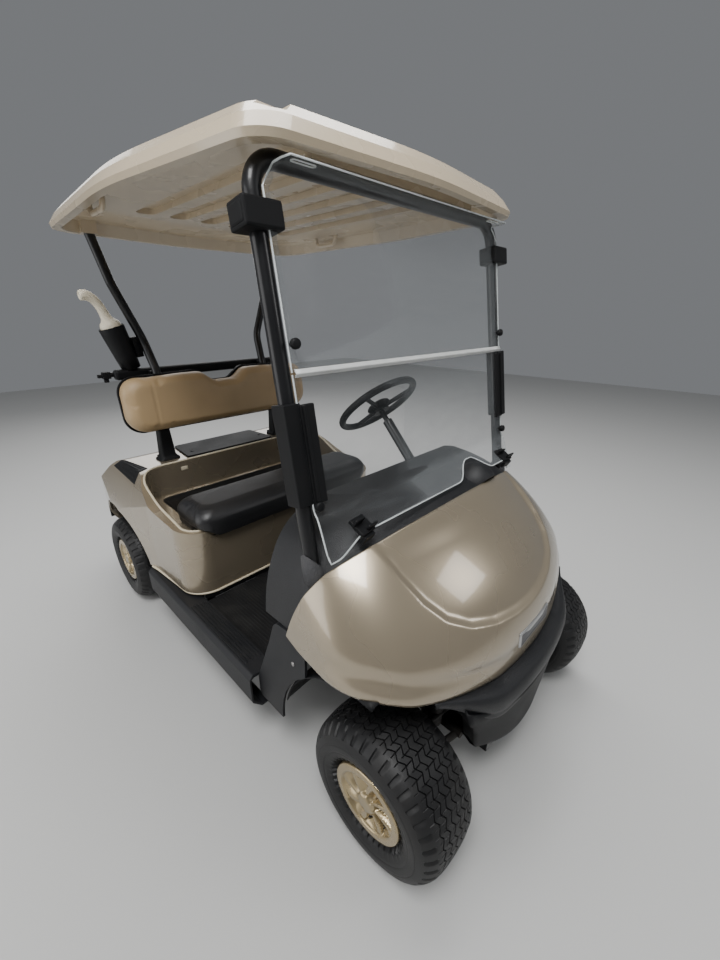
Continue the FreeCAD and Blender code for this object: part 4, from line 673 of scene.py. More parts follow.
# Dash: a black moulding with a coarse pebbled skin that tucks under the cowl's rear edge, with a dome
# over the instrument on the driver's side. Grey foam collars seal the pillars' feet.

dress(pebbled, "dash")
PILLAR_X, PILLAR_FOOT, PILLAR_RISE = 0.4905, (-0.700, 0.812), 0.16553
foam = surface("foam_seal", (0.055, 0.055, 0.058), 0.9, dust=0.3, dust_color=(0.09, 0.085, 0.08), scale=30,
               grain_scale=260, grain_depth=0.9, grain_size=0.002)


def pillar_y(z):
    """The y of the pillars' line at a height."""
    return PILLAR_FOOT[0] + (z - PILLAR_FOOT[1]) * PILLAR_RISE


# Each ring of a collar: height, radius, and the rise towards the outside that follows the cowl.
SEAL = ((0.775, 0.0215, 0.0), (0.780, 0.0280, 0.0), (0.806, 0.0300, 0.010), (0.832, 0.0280, 0.022),
        (0.836, 0.0205, 0.022))
for side_name, side in SIDES:
    rows = [[(side * (PILLAR_X + reach * math.cos(a) * 0.95), pillar_y(z) + reach * math.sin(a),
              z + slant * math.cos(a)) for a in turns(28)] for z, reach, slant in SEAL]
    strips(f"pillar_seal_{side_name}", rows, foam, closed=True)


# Rear body: one champagne moulding for the seat well, the fenders and the deck. Cream bead trim is
# pushed on round the well and along the bottom edge, and ribbed pads are set on the fenders.

dress(champagne, "rear_body")
dress(moulded_black, "bag_well", "rear_bumper", "deck_panel")
cream = surface("cream_trim", (0.60, 0.53, 0.39), 0.38, dust=0.25, dust_color=(0.36, 0.31, 0.22),
                grain_scale=800, grain_depth=0.08)
body_tree = skin_tree(NODES["rear_body"].data)
BODY_TOP_LEAST = 0.55


def body_top(x, y, fallback):
    """Height of the rear body's top at a place, or a fallback height beside it."""
    hit = body_tree.ray_cast(Vector((x, y, 1.2)), Vector((0, 0, -1)))[0]
    return hit.z if hit is not None and hit.z > BODY_TOP_LEAST else fallback


def bead(name, points, radius, mat, body="chassis", closed=False, sides=10):
    """A round bead along a line of points."""
    count = len(points)
    rows = []
    for index, point in enumerate(points):
        back = points[(index - 1) % count] if closed or index else points[0]
        ahead = points[(index + 1) % count] if closed or index < count - 1 else points[-1]
        run = (Vector(ahead) - Vector(back)).normalized()
        guide = Vector((0, 0, 1)) if abs(run.z) < 0.9 else Vector((1, 0, 0))
        across = run.cross(guide).normalized()
        up = across.cross(run).normalized()
        rows.append([tuple(Vector(point) + (across * math.cos(a) + up * math.sin(a)) * radius)
                     for a in turns(sides)])
    if closed:
        rows.append(rows[0])
    return strips(name, rows, mat, body, closed=True)


def arc(centre, radius, start, end, steps):
    """Points of an arc in plan, in degrees."""
    return [(centre[0] + radius * math.cos(math.radians(start + (end - start) * k / steps)),
             centre[1] + radius * math.sin(math.radians(start + (end - start) * k / steps)))
            for k in range(steps + 1)]


def spread(a, b, steps):
    """Points spaced evenly between two."""
    return [tuple(p + (q - p) * k / steps for p, q in zip(a, b)) for k in range(steps)]


# The well's plan: half width, and the y of the front and rear corners' middles with their radii.
WELL_OUT, FRONT_TURN, REAR_TURN = 0.5095, (0.1105, 0.066), (0.4140, 0.126)
BEAD_RADIUS, WELL_RIM = 0.0048, 0.608
front_x, rear_x = WELL_OUT - FRONT_TURN[1], WELL_OUT - REAR_TURN[1]
front_end, rear_end = FRONT_TURN[0] - FRONT_TURN[1], REAR_TURN[0] + REAR_TURN[1]
well_plan = arc((front_x, FRONT_TURN[0]), FRONT_TURN[1], 270, 360, 10)
well_plan += spread((WELL_OUT, FRONT_TURN[0]), (WELL_OUT, REAR_TURN[0]), 40)
well_plan += arc((rear_x, REAR_TURN[0]), REAR_TURN[1], 0, 90, 16)
well_plan += spread((rear_x, rear_end), (-rear_x, rear_end), 50)
well_plan += arc((-rear_x, REAR_TURN[0]), REAR_TURN[1], 90, 180, 16)
well_plan += spread((-WELL_OUT, REAR_TURN[0]), (-WELL_OUT, FRONT_TURN[0]), 40)
well_plan += arc((-front_x, FRONT_TURN[0]), FRONT_TURN[1], 180, 270, 10)
well_plan += spread((-front_x, front_end), (front_x, front_end), 50)
heights = [body_top(x, y, WELL_RIM) for x, y in well_plan]
count = len(heights)
heights = [sum(heights[(index + k) % count] for k in range(-3, 4)) / 7 for index in range(count)]
bead("well_bead", [(x, y, z + 0.0018) for (x, y), z in zip(well_plan, heights)], BEAD_RADIUS, cream,
     closed=True)

low_plan = spread((0.5590, 0.4020), (0.5510, 0.3450), 5) + spread((0.5510, 0.3450), (0.5340, 0.1400), 12)
low_plan += arc((0.4220, 0.1350), 0.1120, 0, -90, 16) + spread((0.4220, 0.0230), (0.0, 0.0230), 20)
low_plan += [(-x, y) for x, y in reversed(low_plan)]
bead("lower_bead", [(x, y, 0.3275) for x, y in low_plan], BEAD_RADIUS, cream)
# A dark skirt closes the gap between the body's front edge and the mat.
skirt = [(x, y) for x, y in low_plan if y < 0.0445 and abs(x) < 0.486]
strips("front_skirt", [[(x, y + 0.0015, z) for x, y in skirt] for z in (0.3285, 0.315, 0.3015)],
       moulded_black)

# A blank label is stuck on the well's rear wall.
LABEL_SPOT = (-0.2890, 0.5338, 0.7035)
label_rows = []
for scale_ring, lift in ((1.0, 0.0002), (0.98, 0.0007), (0.5, 0.0007), (0.02, 0.0007)):
    label_rows.append([(LABEL_SPOT[0] + u * scale_ring, LABEL_SPOT[1] - lift, LABEL_SPOT[2] + v * scale_ring)
                       for u, v in rounded_ring(0.0170, 0.0098, 0.002)])
strips("blank_label", label_rows, cream, closed=True)

# A dark tub lines the battery bay below the well's opening: half width, front and rear y, height.
TUB = ((0.455, 0.060, 0.500, 0.560), (0.452, 0.062, 0.498, 0.300), (0.440, 0.075, 0.485, 0.262),
       (0.02, 0.26, 0.30, 0.260))
rows = []
for half, near, far, z in TUB:
    plan = rounded_ring(half, (far - near) / 2, min(0.02, half / 2))
    rows.append([(u, (near + far) / 2 + v, z) for u, v in plan])
strips("bay_tub", rows, moulded_black, closed=True)

# A flat dark tray with a low rim lies in the well: half width, half depth and height of each ring.
TRAY_Y, TRAY_CORNER = 0.266, 0.04
TRAY = ((0.432, 0.250, 0.5853), (0.432, 0.250, 0.5880), (0.420, 0.238, 0.5886), (0.418, 0.236, 0.5868),
        (0.02, 0.02, 0.5866))
rows = [[(u, TRAY_Y + v, z) for u, v in rounded_ring(half_u, half_v, min(TRAY_CORNER, half_v * 0.9))]
        for half_u, half_v, z in TRAY]
strips("bay_tray", rows, moulded_black, closed=True)

# Each fender pad lies on the moulding under it, with five ridges along its length. The corners are
# those of the right pad.
OUTER_REAR, INNER_REAR, INNER_FRONT, OUTER_FRONT = (Vector((-0.5250, 0.8080)), Vector((-0.4880, 0.7500)),
                                                    Vector((-0.4480, 0.5480)), Vector((-0.5330, 0.4960)))
PAD_THICK, RIDGE_HIGH, RIDGES = 0.0055, 0.0030, 5.5
for side_name, side in (("left", -1), ("right", 1)):
    rows = []
    for along in [step / 40 for step in range(41)]:
        row = []
        for across in [step / 36 for step in range(37)]:
            x, y = OUTER_REAR.lerp(OUTER_FRONT, along).lerp(INNER_REAR.lerp(INNER_FRONT, along), across)
            inside = smooth(0.0, 0.035, min(along, 1 - along, across, 1 - across))
            ridge = 0.5 + 0.5 * math.cos(2 * math.pi * across * RIDGES)
            ridge *= smooth(0.08, 0.13, min(along, 1 - along))
            lift = -0.002 + (PAD_THICK + RIDGE_HIGH * ridge) * inside
            row.append((x * side, y, body_top(x * side, y, 0.70) + lift))
        rows.append(row)
    strips(f"fender_pad_{side_name}", rows, moulded_black)


def lathe(name, profile, spot, axis, mat, body="chassis", sides=24):
    """A turned piece: (along, radius) points about an axis from a spot."""
    axis = Vector(axis).normalized()
    guide = Vector((0, 0, 1)) if abs(axis.z) < 0.9 else Vector((1, 0, 0))
    across = axis.cross(guide).normalized()
    up = across.cross(axis)
    rows = [[tuple(Vector(spot) + axis * along + (across * math.cos(a) + up * math.sin(a)) * radius)
             for a in turns(sides)] for along, radius in profile]
    return strips(name, rows, mat, body, closed=True)


SCREW_HEAD = ((-0.002, 0.0068), (0.0008, 0.0070), (0.0022, 0.0062), (0.0030, 0.0042), (0.0030, 0.0030),
              (0.0014, 0.0022), (0.0012, 0.0003))
for name, x, y in (("a", -0.2007, 0.6284), ("b", 0.2097, 0.6476)):
    lathe(f"deck_screw_{name}", SCREW_HEAD, (x, y, 0.7483), (0, 0, 1), black_steel, sides=18)
for side_name, side in SIDES:
    lathe(f"leg_screw_{side_name}", SCREW_HEAD, (side * 0.549, -0.6636, 0.5109), (side, 0, 0), rod_steel,
          sides=18)


# Seat: a black vinyl bottom cushion that lifts off, and a tan vinyl backrest with two lobes on a black
# shell. Foam fills both, so their covers swell between the seams. The posts wear flared black sleeves.

black_vinyl = surface("black_vinyl", (0.011, 0.011, 0.012), 0.36, dust=0.2, dust_color=(0.04, 0.04, 0.04),
                      scale=8, grain_scale=620, grain_depth=0.5, grain_size=0.0007)
tan_vinyl = surface("tan_vinyl", (0.375, 0.262, 0.138), 0.42, dust=0.30, dust_color=(0.27, 0.185, 0.095),
                    scale=7, grain_scale=520, grain_depth=0.5, grain_size=0.0008)


def stuffed(name, points, faces, mat, slot, voxel, cap, pressure=4.0):
    """A cushion: the closed form is remeshed, blown up as cloth, its swell capped, then smoothed."""
    piece = from_lists(name, points, faces)
    piece.data.materials.append(mat)
    remesh = piece.modifiers.new("remesh", "REMESH")
    remesh.mode = "VOXEL"
    remesh.voxel_size = voxel
    remesh.use_smooth_shade = True
    bpy.context.view_layer.update()
    graph = bpy.context.evaluated_depsgraph_get()
    data = bpy.data.meshes.new_from_object(piece.evaluated_get(graph))
    piece.modifiers.clear()
    piece.data = data
    start = np.array([v.co for v in data.vertices])
    cloth = piece.modifiers.new("cloth", "CLOTH")
    cloth.settings.quality = 5
    cloth.settings.use_pressure = True
    cloth.settings.uniform_pressure_force = pressure
    cloth.settings.effector_weights.gravity = 0
    cloth.point_cache.frame_start = 1
    cloth.point_cache.frame_end = 20
    for number in range(1, 21):
        bpy.context.scene.frame_set(number)
    graph = bpy.context.evaluated_depsgraph_get()
    swollen = piece.evaluated_get(graph).to_mesh()
    moved = np.array([v.co for v in swollen.vertices]) - start
    length = np.linalg.norm(moved, axis=1, keepdims=True)
    moved *= np.minimum(1.0, cap / np.maximum(length, 1e-9))
    piece.modifiers.clear()
    bpy.context.scene.frame_set(1)
    data.vertices.foreach_set("co", (start + moved).ravel())
    data.polygons.foreach_set("use_smooth", [True] * len(data.polygons))
    data.materials.clear()
    data.materials.append(mat)
    subdivide = piece.modifiers.new("smooth", "SUBSURF")
    subdivide.levels = subdivide.render_levels = 1
    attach(piece, "chassis")
    return piece


def closed_rows(rows):
    """Points and faces of a closed form from equal rings, with both ends capped."""
    across = len(rows[0])
    points = [point for row in rows for point in row]
    faces = [(r * across + c, r * across + (c + 1) % across, (r + 1) * across + (c + 1) % across,
              (r + 1) * across + c) for r in range(len(rows) - 1) for c in range(across)]
    faces.append(tuple(reversed(range(across))))
    faces.append(tuple(range((len(rows) - 1) * across, len(rows) * across)))
    return points, faces


# The bottom cushion sits in the well, with its front edge drooping over the well's front wall.
seat_low, seat_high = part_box("seat_cushion")
SEAT_FRONT, SEAT_RIM = 0.006, 0.6180
half_x = seat_high.x - 0.004


def slab(front, end, half, levels):
    """Rings of a rounded slab between two y values: each level is (height, inset, corner radius)."""
    rings = []
    for z, inset, radius in levels:
        plan = rounded_ring(half - inset, (end - front) / 2 - inset, radius, 10)
        rings.append([(u, (front + end) / 2 + v, z) for u, v in plan])
    return rings


BOARD = ((seat_low.z + 0.0005, 0.002, 0.040), (0.6000, 0.0, 0.045), (SEAT_RIM + 0.012, 0.0, 0.045))
CROWN = ((SEAT_RIM, 0.003, 0.048), (0.6240, 0.0, 0.050), (0.6480, 0.0, 0.050), (0.6620, 0.004, 0.052),
         (0.6760, 0.014, 0.054), (0.6870, 0.030, 0.050), (0.6935, 0.054, 0.046))
parts = [slab(seat_low.y + 0.004, seat_high.y - 0.006, half_x - 0.004, BOARD),
         slab(SEAT_FRONT, seat_high.y - 0.004, half_x, CROWN)]
# The lip's section as (y, z), and the plan of the front wall's corner that it follows.
LIP = ((0.0205, 0.566), (0.0160, 0.556), (0.0105, 0.555), (0.0065, 0.564), (0.0050, 0.600), (0.0055, 0.640),
       (0.0200, 0.652), (0.0500, 0.660), (0.0620, 0.645), (0.0600, 0.622), (0.0300, 0.6190), (0.0210, 0.612))
WALL_X, WALL_Y, WALL_RADIUS = 0.424, 0.056, 0.049
LIP_END, LIP_RISE, LIP_TIP = math.radians(62), 0.345, 0.634
path = [(WALL_X * k / 20, 0.0) for k in range(21)] + [(WALL_X, LIP_END * k / 10) for k in range(1, 11)]
path = [(-x, -angle) for x, angle in reversed(path[1:])] + path
lip = []
for x, angle in path:
    # The lip's lower edge climbs to the rim towards both ends.
    run = abs(x) - LIP_RISE + WALL_RADIUS * abs(angle)
    fade = smooth(0.0, WALL_X - LIP_RISE + WALL_RADIUS * LIP_END, run)
    ring = []
    for y, z in LIP:
        reach = WALL_RADIUS + SEAT_FRONT - y
        ring.append((x + reach * math.sin(angle), WALL_Y - reach * math.cos(angle),
                     z + (LIP_TIP - z) * 0.75 * fade))
    lip.append(ring)
parts.append(lip)
seat_points, seat_faces = [], []
for rows in parts:
    points, faces = closed_rows(rows)
    seat_faces += [tuple(index + len(seat_points) for index in face) for face in faces]
    seat_points += points
seat = stuffed("seat_bottom", seat_points, seat_faces, black_vinyl, "black_vinyl", 0.006, 0.006)
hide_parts("seat_cushion")
for vertex in seat.data.vertices:
    vertex.co.z = max(vertex.co.z, seat_low.z + 0.0004)

# The backrest leans back with its shell, about the shell's lower edge.
BACK_LEAN, BACK_FOOT = math.radians(-5), Vector((0, 0.605, 0.893))
BACK_HALF, BACK_LOW, BACK_HIGH, BACK_DIP, BACK_CORNER = 0.491, 0.8925, 1.1505, 0.046, 0.085
# The backrest's layers from its shell to its face: depth ahead of the shell's rear, and inset.
BACK_LAYERS = ((0.086, 0.003), (0.066, 0.0), (0.036, 0.001), (0.020, 0.008), (0.008, 0.020), (0.001, 0.036))


def back_top(x):
    """The backrest's top edge across its width, two lobes with a dip between."""
    lobe = BACK_HIGH + 0.003 - 0.012 * smooth(0.20, 0.46, abs(x))
    return lobe - BACK_DIP * (1 - smooth(0.045, 0.135, abs(x)))


def back_outline(inset):
    """The backrest's outline, smaller by an inset, as (x, z)."""
    radius = BACK_CORNER - inset * 0.6
    half = BACK_HALF - inset
    low = BACK_LOW + inset
    ring = arc((radius - half, low + radius), radius, 180, 270, 13)
    ring += [(-half + radius + (2 * half - 2 * radius) * k / 40, low) for k in range(1, 40)]
    ring += arc((half - radius, low + radius), radius, -90, 0, 13)
    upper = radius * 0.9
    shoulder = arc((half - upper, back_top(half - radius) - inset - upper), upper, 0, 90, 13)
    ring += shoulder
    ring += [(x, back_top(x) - inset) for x in [(half - radius) * (1 - 2 * k / 60) for k in range(1, 60)]]
    return ring + [(-x, z) for x, z in reversed(shoulder)]


back_rings = []
for depth, inset in BACK_LAYERS:
    ring = []
    for x, z in back_outline(inset):
        spot = Vector((x, 0.5215 + depth, z)) - BACK_FOOT
        spot.rotate(Matrix.Rotation(BACK_LEAN, 3, "X"))
        ring.append(tuple(spot + BACK_FOOT))
    back_rings.append(ring)
back = stuffed("back_rest", *closed_rows(back_rings), tan_vinyl, "tan_vinyl", 0.006, 0.009)
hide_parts("back_cushion")
SEAM_X, SEAM_WIDTH, SEAM_DEPTH = 0.365, 0.0045, 0.0030
for vertex in back.data.vertices:
    if vertex.co.y < 0.60:
        vertex.co.y += SEAM_DEPTH * math.exp(-((abs(vertex.co.x) - SEAM_X) / SEAM_WIDTH) ** 2)
dress(moulded_black, "back_frame")
dress(black_steel, "rear_struts")
# The sleeves flare at their feet. Each ring: height, half sizes and y.
POST_X = 0.322
SLEEVE = ((0.7406, 0.050, 0.040, 0.632), (0.7470, 0.049, 0.039, 0.632), (0.7520, 0.040, 0.034, 0.632),
          (0.7640, 0.0345, 0.031, 0.633), (0.8200, 0.0310, 0.029, 0.634), (0.8920, 0.0265, 0.0265, 0.635),
          (0.9050, 0.0240, 0.0240, 0.636))
for side_name, side in SIDES:
    rows = []
    for z, reach_x, reach_y, y in SLEEVE:
        plan = rounded_ring(reach_x, reach_y, min(reach_x, reach_y) * 0.45)
        rows.append([(side * POST_X + u, y + v, z) for u, v in plan])
    strips(f"post_sleeve_{side_name}", rows, moulded_black, closed=True)


# Roof: one glossy tan thermoformed moulding with a raised gutter and channels pressed up under it,
# carried by black steel pillars and struts.

roof_plastic = surface("roof_plastic", (0.56, 0.465, 0.33), 0.26, coat=0.5, dust=0.10,
                       dust_color=(0.42, 0.35, 0.255), scale=4, grain_scale=500, grain_depth=0.015)
dress(roof_plastic, "roof")
dress(black_steel, "front_pillars")


# Windscreen: two clear acrylic panes joined by a pale hinge strip. Black sleeves and clip boxes hold
# them to the pillars, and the lower pane's foot bends forward over the dash under two clips. Pale beads along
# the panes' edges and the slots' rims are painted highlight for the light caught in the clear sheets' edges.

clear = bpy.data.materials.new("clear_sheet")
clear.use_nodes = True
tree = clear.node_tree
shader = tree.nodes["Principled BSDF"]
shader.inputs["Base Color"].default_value = (0.30, 0.32, 0.33, 1)
shader.inputs["IOR"].default_value = 1.3
haze = add_node(tree, "ShaderNodeTexNoise", {"Scale": 9, "Detail": 9})
span = add_node(tree, "ShaderNodeMapRange", {"From Min": 0.35, "From Max": 0.8,
                                             "To Min": 0.012, "To Max": 0.060})
gloss = add_node(tree, "ShaderNodeMapRange", {"To Min": 0.02, "To Max": 0.10})
glance = add_node(tree, "ShaderNodeLayerWeight", {"Blend": 0.22})
opacity = add_node(tree, "ShaderNodeMath", {1: 0.26}, operation="MULTIPLY_ADD", use_clamp=True)
wire(tree, (haze.outputs["Fac"], span.inputs["Value"]), (glance.outputs["Fresnel"], opacity.inputs[0]),
     (span.outputs["Result"], opacity.inputs[2]), (opacity.outputs[0], shader.inputs["Alpha"]),
     (haze.outputs["Fac"], gloss.inputs["Value"]), (gloss.outputs["Result"], shader.inputs["Roughness"]))
# Pale paint for the panes' edges: a painted highlight standing in for light caught in the clear sheet's edge.
edge_glint_paint = surface("painted_edge_glint", (0.66, 0.70, 0.70), 0.25, dust=0.2, dust_color=(0.45, 0.46, 0.45),
                     scale=30, grain_scale=900, grain_depth=0.05)

PANE_AHEAD, PANE_HALF, PANE_THICK, CREASE, PANE_SPLIT = 0.0250, 0.478, 0.005, 0.961, 1.2825
FOLD, FOOT_LENGTH, EDGE_RADIUS = 0.012, 0.0960, 0.0021
ARCH_X, ARCH_RISE, ARCH_INNER, ARCH_OUTER = 0.190, 0.064, 0.135, 0.085
foot_run = Vector((0, -0.080, -0.056)).normalized()
# The ears at the foot's ends drop beside the dash: shares of the foot, and the run in y and z.
EAR_STEPS, EAR_START, EAR_END = (0, 0.25, 0.5, 0.75, 1), 0.385, 0.452
EAR_Y, EAR_Z = (-0.010, -0.021, -0.032, -0.042, -0.056), (-0.007, -0.034, -0.066, -0.096, -0.116)
# Shares down the lower pane where the fold starts and ends, and all its stops.
FOLD_START, FOLD_END = 0.6, 0.7
STOPS = [0.0, 0.15, 0.3, 0.45, 0.6, 0.62, 0.64, 0.66, 0.68, 0.7]
STOPS += [0.7 + 0.3 * k / 12 for k in range(1, 13)]
PANE_COLS = 120


def pane_y(z):
    """The y of the panes' middle plane at a height."""
    return pillar_y(z) - PANE_AHEAD


def pane_point(x, place):
    """A point of the lower pane's middle plane: place runs down the pane, then along its foot."""
    if place <= FOLD_START:
        z = PANE_SPLIT + (CREASE + FOLD - PANE_SPLIT) * place / FOLD_START
        return (x, pane_y(z), z)
    bend = Vector((x, pane_y(CREASE), CREASE))
    if place <= FOLD_END:
        turn = (place - FOLD_START) / (FOLD_END - FOLD_START)
        start = Vector((x, pane_y(CREASE + FOLD), CREASE + FOLD))
        middle, end = bend + Vector((0, -0.001, 0.001)), bend + foot_run * FOLD
        return tuple(start * (1 - turn) ** 2 + middle * 2 * turn * (1 - turn) + end * turn ** 2)
    # The foot is shorter where it arches over the dash's dome.
    arch = 1 - abs(x - ARCH_X) / (ARCH_INNER if x < ARCH_X else ARCH_OUTER)
    length = FOOT_LENGTH - ARCH_RISE * smooth(0.0, 0.9, arch)
    reach = (place - FOLD_END) / (1 - FOLD_END)
    flat = bend + foot_run * (FOLD + (length - FOLD) * reach)
    down = bend + Vector((0, *(float(np.interp(reach, EAR_STEPS, run)) for run in (EAR_Y, EAR_Z))))
    return tuple(flat.lerp(down, smooth(EAR_START, EAR_END, abs(x))))


across_pane = [-PANE_HALF + 2 * PANE_HALF * col / PANE_COLS for col in range(PANE_COLS + 1)]
pane_rows = [[pane_point(x, stop) for x in across_pane] for stop in STOPS]
pane = strips("lower_pane", pane_rows, clear)
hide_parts("windscreen_lower")
walled(pane, PANE_THICK, 0)
rim = [row[0] for row in pane_rows] + pane_rows[-1][1:-1] + [row[-1] for row in reversed(pane_rows)]
bead("lower_pane_edge", rim, EDGE_RADIUS, edge_glint_paint, sides=8)

# The upper pane narrows at its head and folds forward into a flange with a slot near each end.
HEAD_Z, SLOT_X = 1.6800, 0.392
head_y = pane_y(HEAD_Z)
HEAD = [(PANE_HALF, pane_y(z), z) for z in (1.2865, 1.400, 1.520, 1.636)] + [(0.462, pane_y(1.658), 1.658)]
HEAD += [(half, head_y + dy, HEAD_Z + dz) for half, dy, dz in (
    (0.449, 0.0005, -0.006), (0.4465, -0.0020, -0.001), (0.446, -0.008, 0.0005), (0.446, -0.030, 0.002),
    (0.440, -0.052, 0.004))]
upper = strips("upper_pane", [[(half * (k / 20 - 1), y, z) for k in range(41)] for half, y, z in HEAD], clear)
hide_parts("windscreen_upper")
walled(upper, PANE_THICK, 0)
outline = [(-half, y, z) for half, y, z in HEAD] + [(half, y, z) for half, y, z in reversed(HEAD)]
bead("upper_pane_edge", outline, EDGE_RADIUS, edge_glint_paint, sides=8)
for side_name, side in SIDES:
    slot_rim = [(side * SLOT_X + u, head_y - 0.030 + v, HEAD_Z + 0.0030)
                for u, v in rounded_ring(0.030, 0.0065, 0.006)]
    bead(f"pane_slot_{side_name}", slot_rim, 0.0016, edge_glint_paint, closed=True, sides=6)

hinge_white = surface("hinge_strip", (0.62, 0.63, 0.62), 0.4, dust=0.25, dust_color=(0.4, 0.4, 0.39),
                      scale=20, grain_scale=600, grain_depth=0.1)
HINGE_HALF = 0.474
# The hinge's section: two leaves and the bead of the pin between them, as (out from the pane, height).
HINGE = ((-0.0035, 1.2765), (-0.0060, 1.2775), (-0.0060, 1.2815), (-0.0085, 1.2828), (-0.0090, 1.2848),
         (-0.0084, 1.2868), (-0.0060, 1.2880), (-0.0060, 1.2920), (-0.0035, 1.2930))
hinge_rows = [[(HINGE_HALF * (step / 20 - 1), pane_y(z) + dy, z) for dy, z in HINGE] for step in range(41)]
walled(strips("hinge_strip", hinge_rows, hinge_white), 0.0015, 0)


def block(name, boxes, spot, turn, mat, bevel=0.002, body="chassis"):
    """Bevelled boxes joined in one moulded piece: each is (centre, size), turned about a spot."""
    work = bmesh.new()
    for centre, size in boxes:
        made = bmesh.ops.create_cube(work, size=1.0)["verts"]
        for vertex in made:
            vertex.co = Vector([c + v * s for c, v, s in zip(centre, vertex.co, size)])
    bmesh.ops.bevel(work, geom=list(work.edges), offset=bevel, segments=2, profile=0.5, affect="EDGES",
                    clamp_overlap=True)
    data = bpy.data.meshes.new(name)
    work.to_mesh(data)
    work.free()
    data.transform(Matrix.Translation(Vector(spot)) @ turn.to_4x4())
    piece = link(bpy.data.objects.new(name, data))
    data.materials.append(mat)
    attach(piece, body)
    return piece


# Moulded clamps grip the pillars: a box at the head and a long sleeve with a lip over the pane.
lean = Matrix.Rotation(-math.atan(PILLAR_RISE), 3, "X")
clamps = []
HEAD_CLAMP = (((0, -0.006, 0), (0.092, 0.062, 0.054)), ((0, -0.006, 0.0), (0.097, 0.050, 0.040)))
for side_name, side, box_z, sleeve_z in (("left", 1, 1.592, 1.153), ("right", -1, 1.582, 1.100)):
    clamps.append(block(f"head_clamp_{side_name}", HEAD_CLAMP, (side * PILLAR_X, pillar_y(box_z), box_z), lean,
                        moulded_black, 0.005))
    sleeve = (((side * 0.003, -0.002, 0), (0.046, 0.050, 0.240)),
              ((-side * 0.034, -0.026, -0.003), (0.040, 0.016, 0.236)),
              ((-side * 0.022, -0.030, 0.0), (0.008, 0.022, 0.228)))
    clamps.append(block(f"pane_sleeve_{side_name}", sleeve, (side * PILLAR_X, pillar_y(sleeve_z), sleeve_z),
                        lean, moulded_black, 0.003))
for piece in clamps:
    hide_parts("windscreen_fittings")

# Two clips hook over the foot's edge: a base, two upright blades and a bar across them.
CLIP = (((0, 0.018, 0.004), (0.050, 0.052, 0.010)), ((-0.012, 0.026, 0.016), (0.034, 0.006, 0.024)),
        ((0.014, 0.000, 0.013), (0.034, 0.006, 0.022)), ((0.0, 0.014, -0.006), (0.030, 0.030, 0.014)),
        ((0.0, -0.012, -0.012), (0.040, 0.010, 0.026)))
for side_name, x in (("right", -0.380), ("left", 0.372)):
    yawed = Matrix.Rotation(math.radians(6 if x < 0 else -6), 3, "Z")
    block(f"pane_clip_{side_name}", CLIP, pane_point(x, 1.0), yawed @ Matrix.Rotation(math.radians(30), 3, "X"),
          moulded_black, 0.0015)

# Four round knobs clamp the panes' edges: their turned section, then the place of each.
KNOB = ((-0.012, 0.004), (0.0, 0.005), (0.001, 0.0105), (0.004, 0.0120), (0.011, 0.0120), (0.014, 0.0105),
        (0.015, 0.0060), (0.015, 0.0004))
for name, x, z in (("right_high", -0.4655, 1.3454), ("right_low", -0.4680, 0.9800),
                   ("left_high", 0.4680, 1.3400), ("left_low", 0.4680, 0.9900)):
    lathe(f"pane_knob_{name}", KNOB, (x, pane_y(z) - 0.004, z), (0, -1, 0.16), moulded_black,
          sides=20)


# Bag rail and bottle: a black rail across the struts with strap hooks at its ends, and a tapered black
# cup that carries a pale sand bottle with a bent spout.

dress(black_steel, "bag_rail")
for side_name, side in SIDES:
    hook = (((0, 0, 0), (0.034, 0.026, 0.030)), ((0.020 * side, 0.004, -0.002), (0.030, 0.016, 0.016)),
            ((0.004 * side, -0.004, -0.020), (0.020, 0.012, 0.022)))
    block(f"strap_hook_{side_name}", hook, (side * 0.476, 0.764, 1.144), Matrix.Identity(3), moulded_black,
          0.003)

block("rail_sleeve", (((0, 0, 0), (0.900, 0.044, 0.046)),), (0, 0.7420, 1.1440), Matrix.Identity(3),
      moulded_black, 0.012)

CUP_FOOT, CUP_LEAN = Vector((-0.366, 0.752, 1.166)), math.radians(-15)
cup_axis = Vector((math.sin(CUP_LEAN), 0, math.cos(CUP_LEAN)))
CUP = ((0.0, 0.001), (0.0, 0.036), (0.003, 0.041), (0.060, 0.0455), (0.150, 0.0515), (0.188, 0.0535),
       (0.191, 0.0525), (0.189, 0.0505), (0.150, 0.0485), (0.010, 0.0380))
cup = lathe("bottle_cup", CUP, CUP_FOOT, cup_axis, moulded_black, sides=40)
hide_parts("bottle_holder")
block("cup_bracket", (((0, 0, 0.0), (0.030, 0.040, 0.090)), ((0.016, 0.0, 0.0), (0.020, 0.020, 0.050))),
      (-0.328, 0.748, 1.262), Matrix.Rotation(math.radians(-8), 3, "Y"), moulded_black, 0.003)

bottle_plastic = surface("bottle_plastic", (0.66, 0.60, 0.47), 0.42, dust=0.25, scale=16,
                         dust_color=(0.48, 0.42, 0.31), grain_scale=500, grain_depth=0.1)
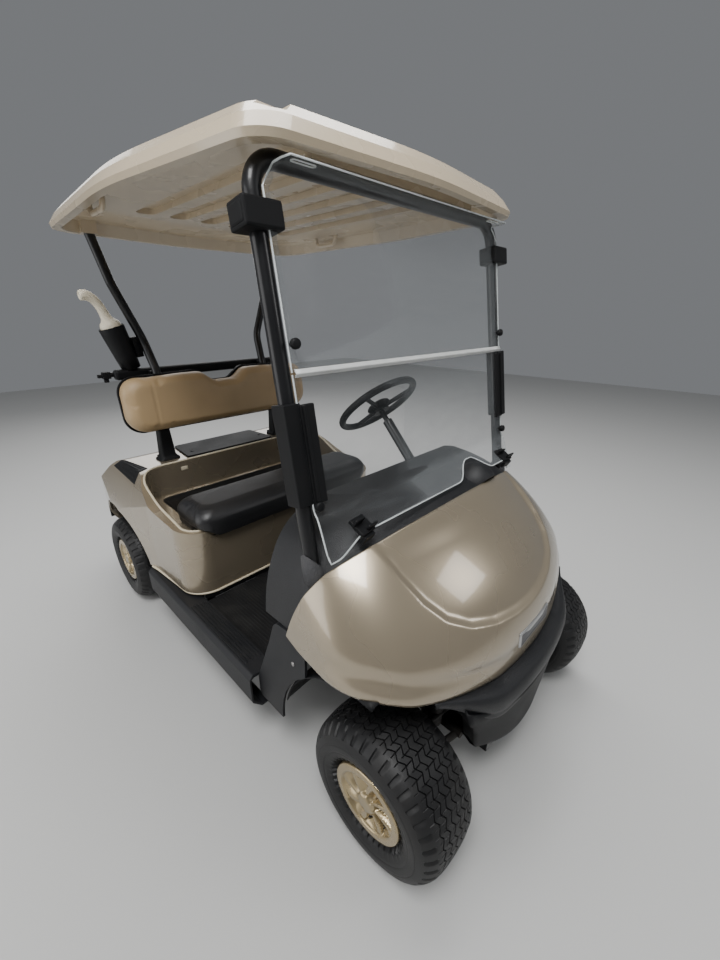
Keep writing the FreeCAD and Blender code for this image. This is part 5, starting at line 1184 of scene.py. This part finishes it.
# Rings of the bottle: distance along the cup's axis, shift outwards, radius and tilt in degrees.
BOTTLE = ((0.006, 0.0, 0.010, 0), (0.006, 0.0, 0.036, 0), (0.150, 0.0, 0.044, 0), (0.188, 0.0, 0.0445, 0),
          (0.202, 0.0, 0.0425, 0), (0.212, 0.0, 0.0370, 0), (0.219, 0.0, 0.0290, 0), (0.230, 0.001, 0.0225, 2),
          (0.250, 0.002, 0.0200, 5), (0.275, 0.004, 0.0190, 10), (0.295, 0.009, 0.0190, 18),
          (0.312, 0.016, 0.0195, 30), (0.325, 0.026, 0.0205, 46), (0.333, 0.038, 0.0215, 62),
          (0.336, 0.050, 0.0215, 74), (0.3365, 0.058, 0.0195, 78), (0.3365, 0.061, 0.0140, 80),
          (0.335, 0.056, 0.0120, 80), (0.334, 0.054, 0.001, 80))
outward = Vector((-math.cos(CUP_LEAN), 0, math.sin(CUP_LEAN)))
rows = []
for along, shift, radius, tip in BOTTLE:
    centre = CUP_FOOT + cup_axis * along + outward * shift
    ring_axis = cup_axis * math.cos(math.radians(tip)) + outward * math.sin(math.radians(tip))
    across = Vector((0, 1, 0))
    up = ring_axis.cross(across).normalized()
    rows.append([tuple(centre + (across * math.cos(a) + up * math.sin(a)) * radius) for a in turns(32)])
bottle = strips("spouted_bottle", rows, bottle_plastic, closed=True)
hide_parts("sand_bottle")


# Steering: a black moulded wheel with three spokes on a steel shaft, turning in a fixed column tube.
# A domed cap covers its middle.

dress(black_steel, "steering_column")
dress(moulded_black, "steering_wheel")
WHEEL_HUB, COLUMN_LEAN = Vector((0.240, -0.259, 1.052)), math.radians(47.5)
wheel_axis = Vector((0, math.cos(COLUMN_LEAN), math.sin(COLUMN_LEAN)))
CAP = ((-0.010, 0.040), (0.004, 0.052), (0.010, 0.050), (0.016, 0.042), (0.019, 0.028), (0.020, 0.010),
       (0.020, 0.001))
lathe("wheel_cap", CAP, WHEEL_HUB - wheel_axis * 0.012, wheel_axis, moulded_black,
      body="steering_wheel", sides=32)
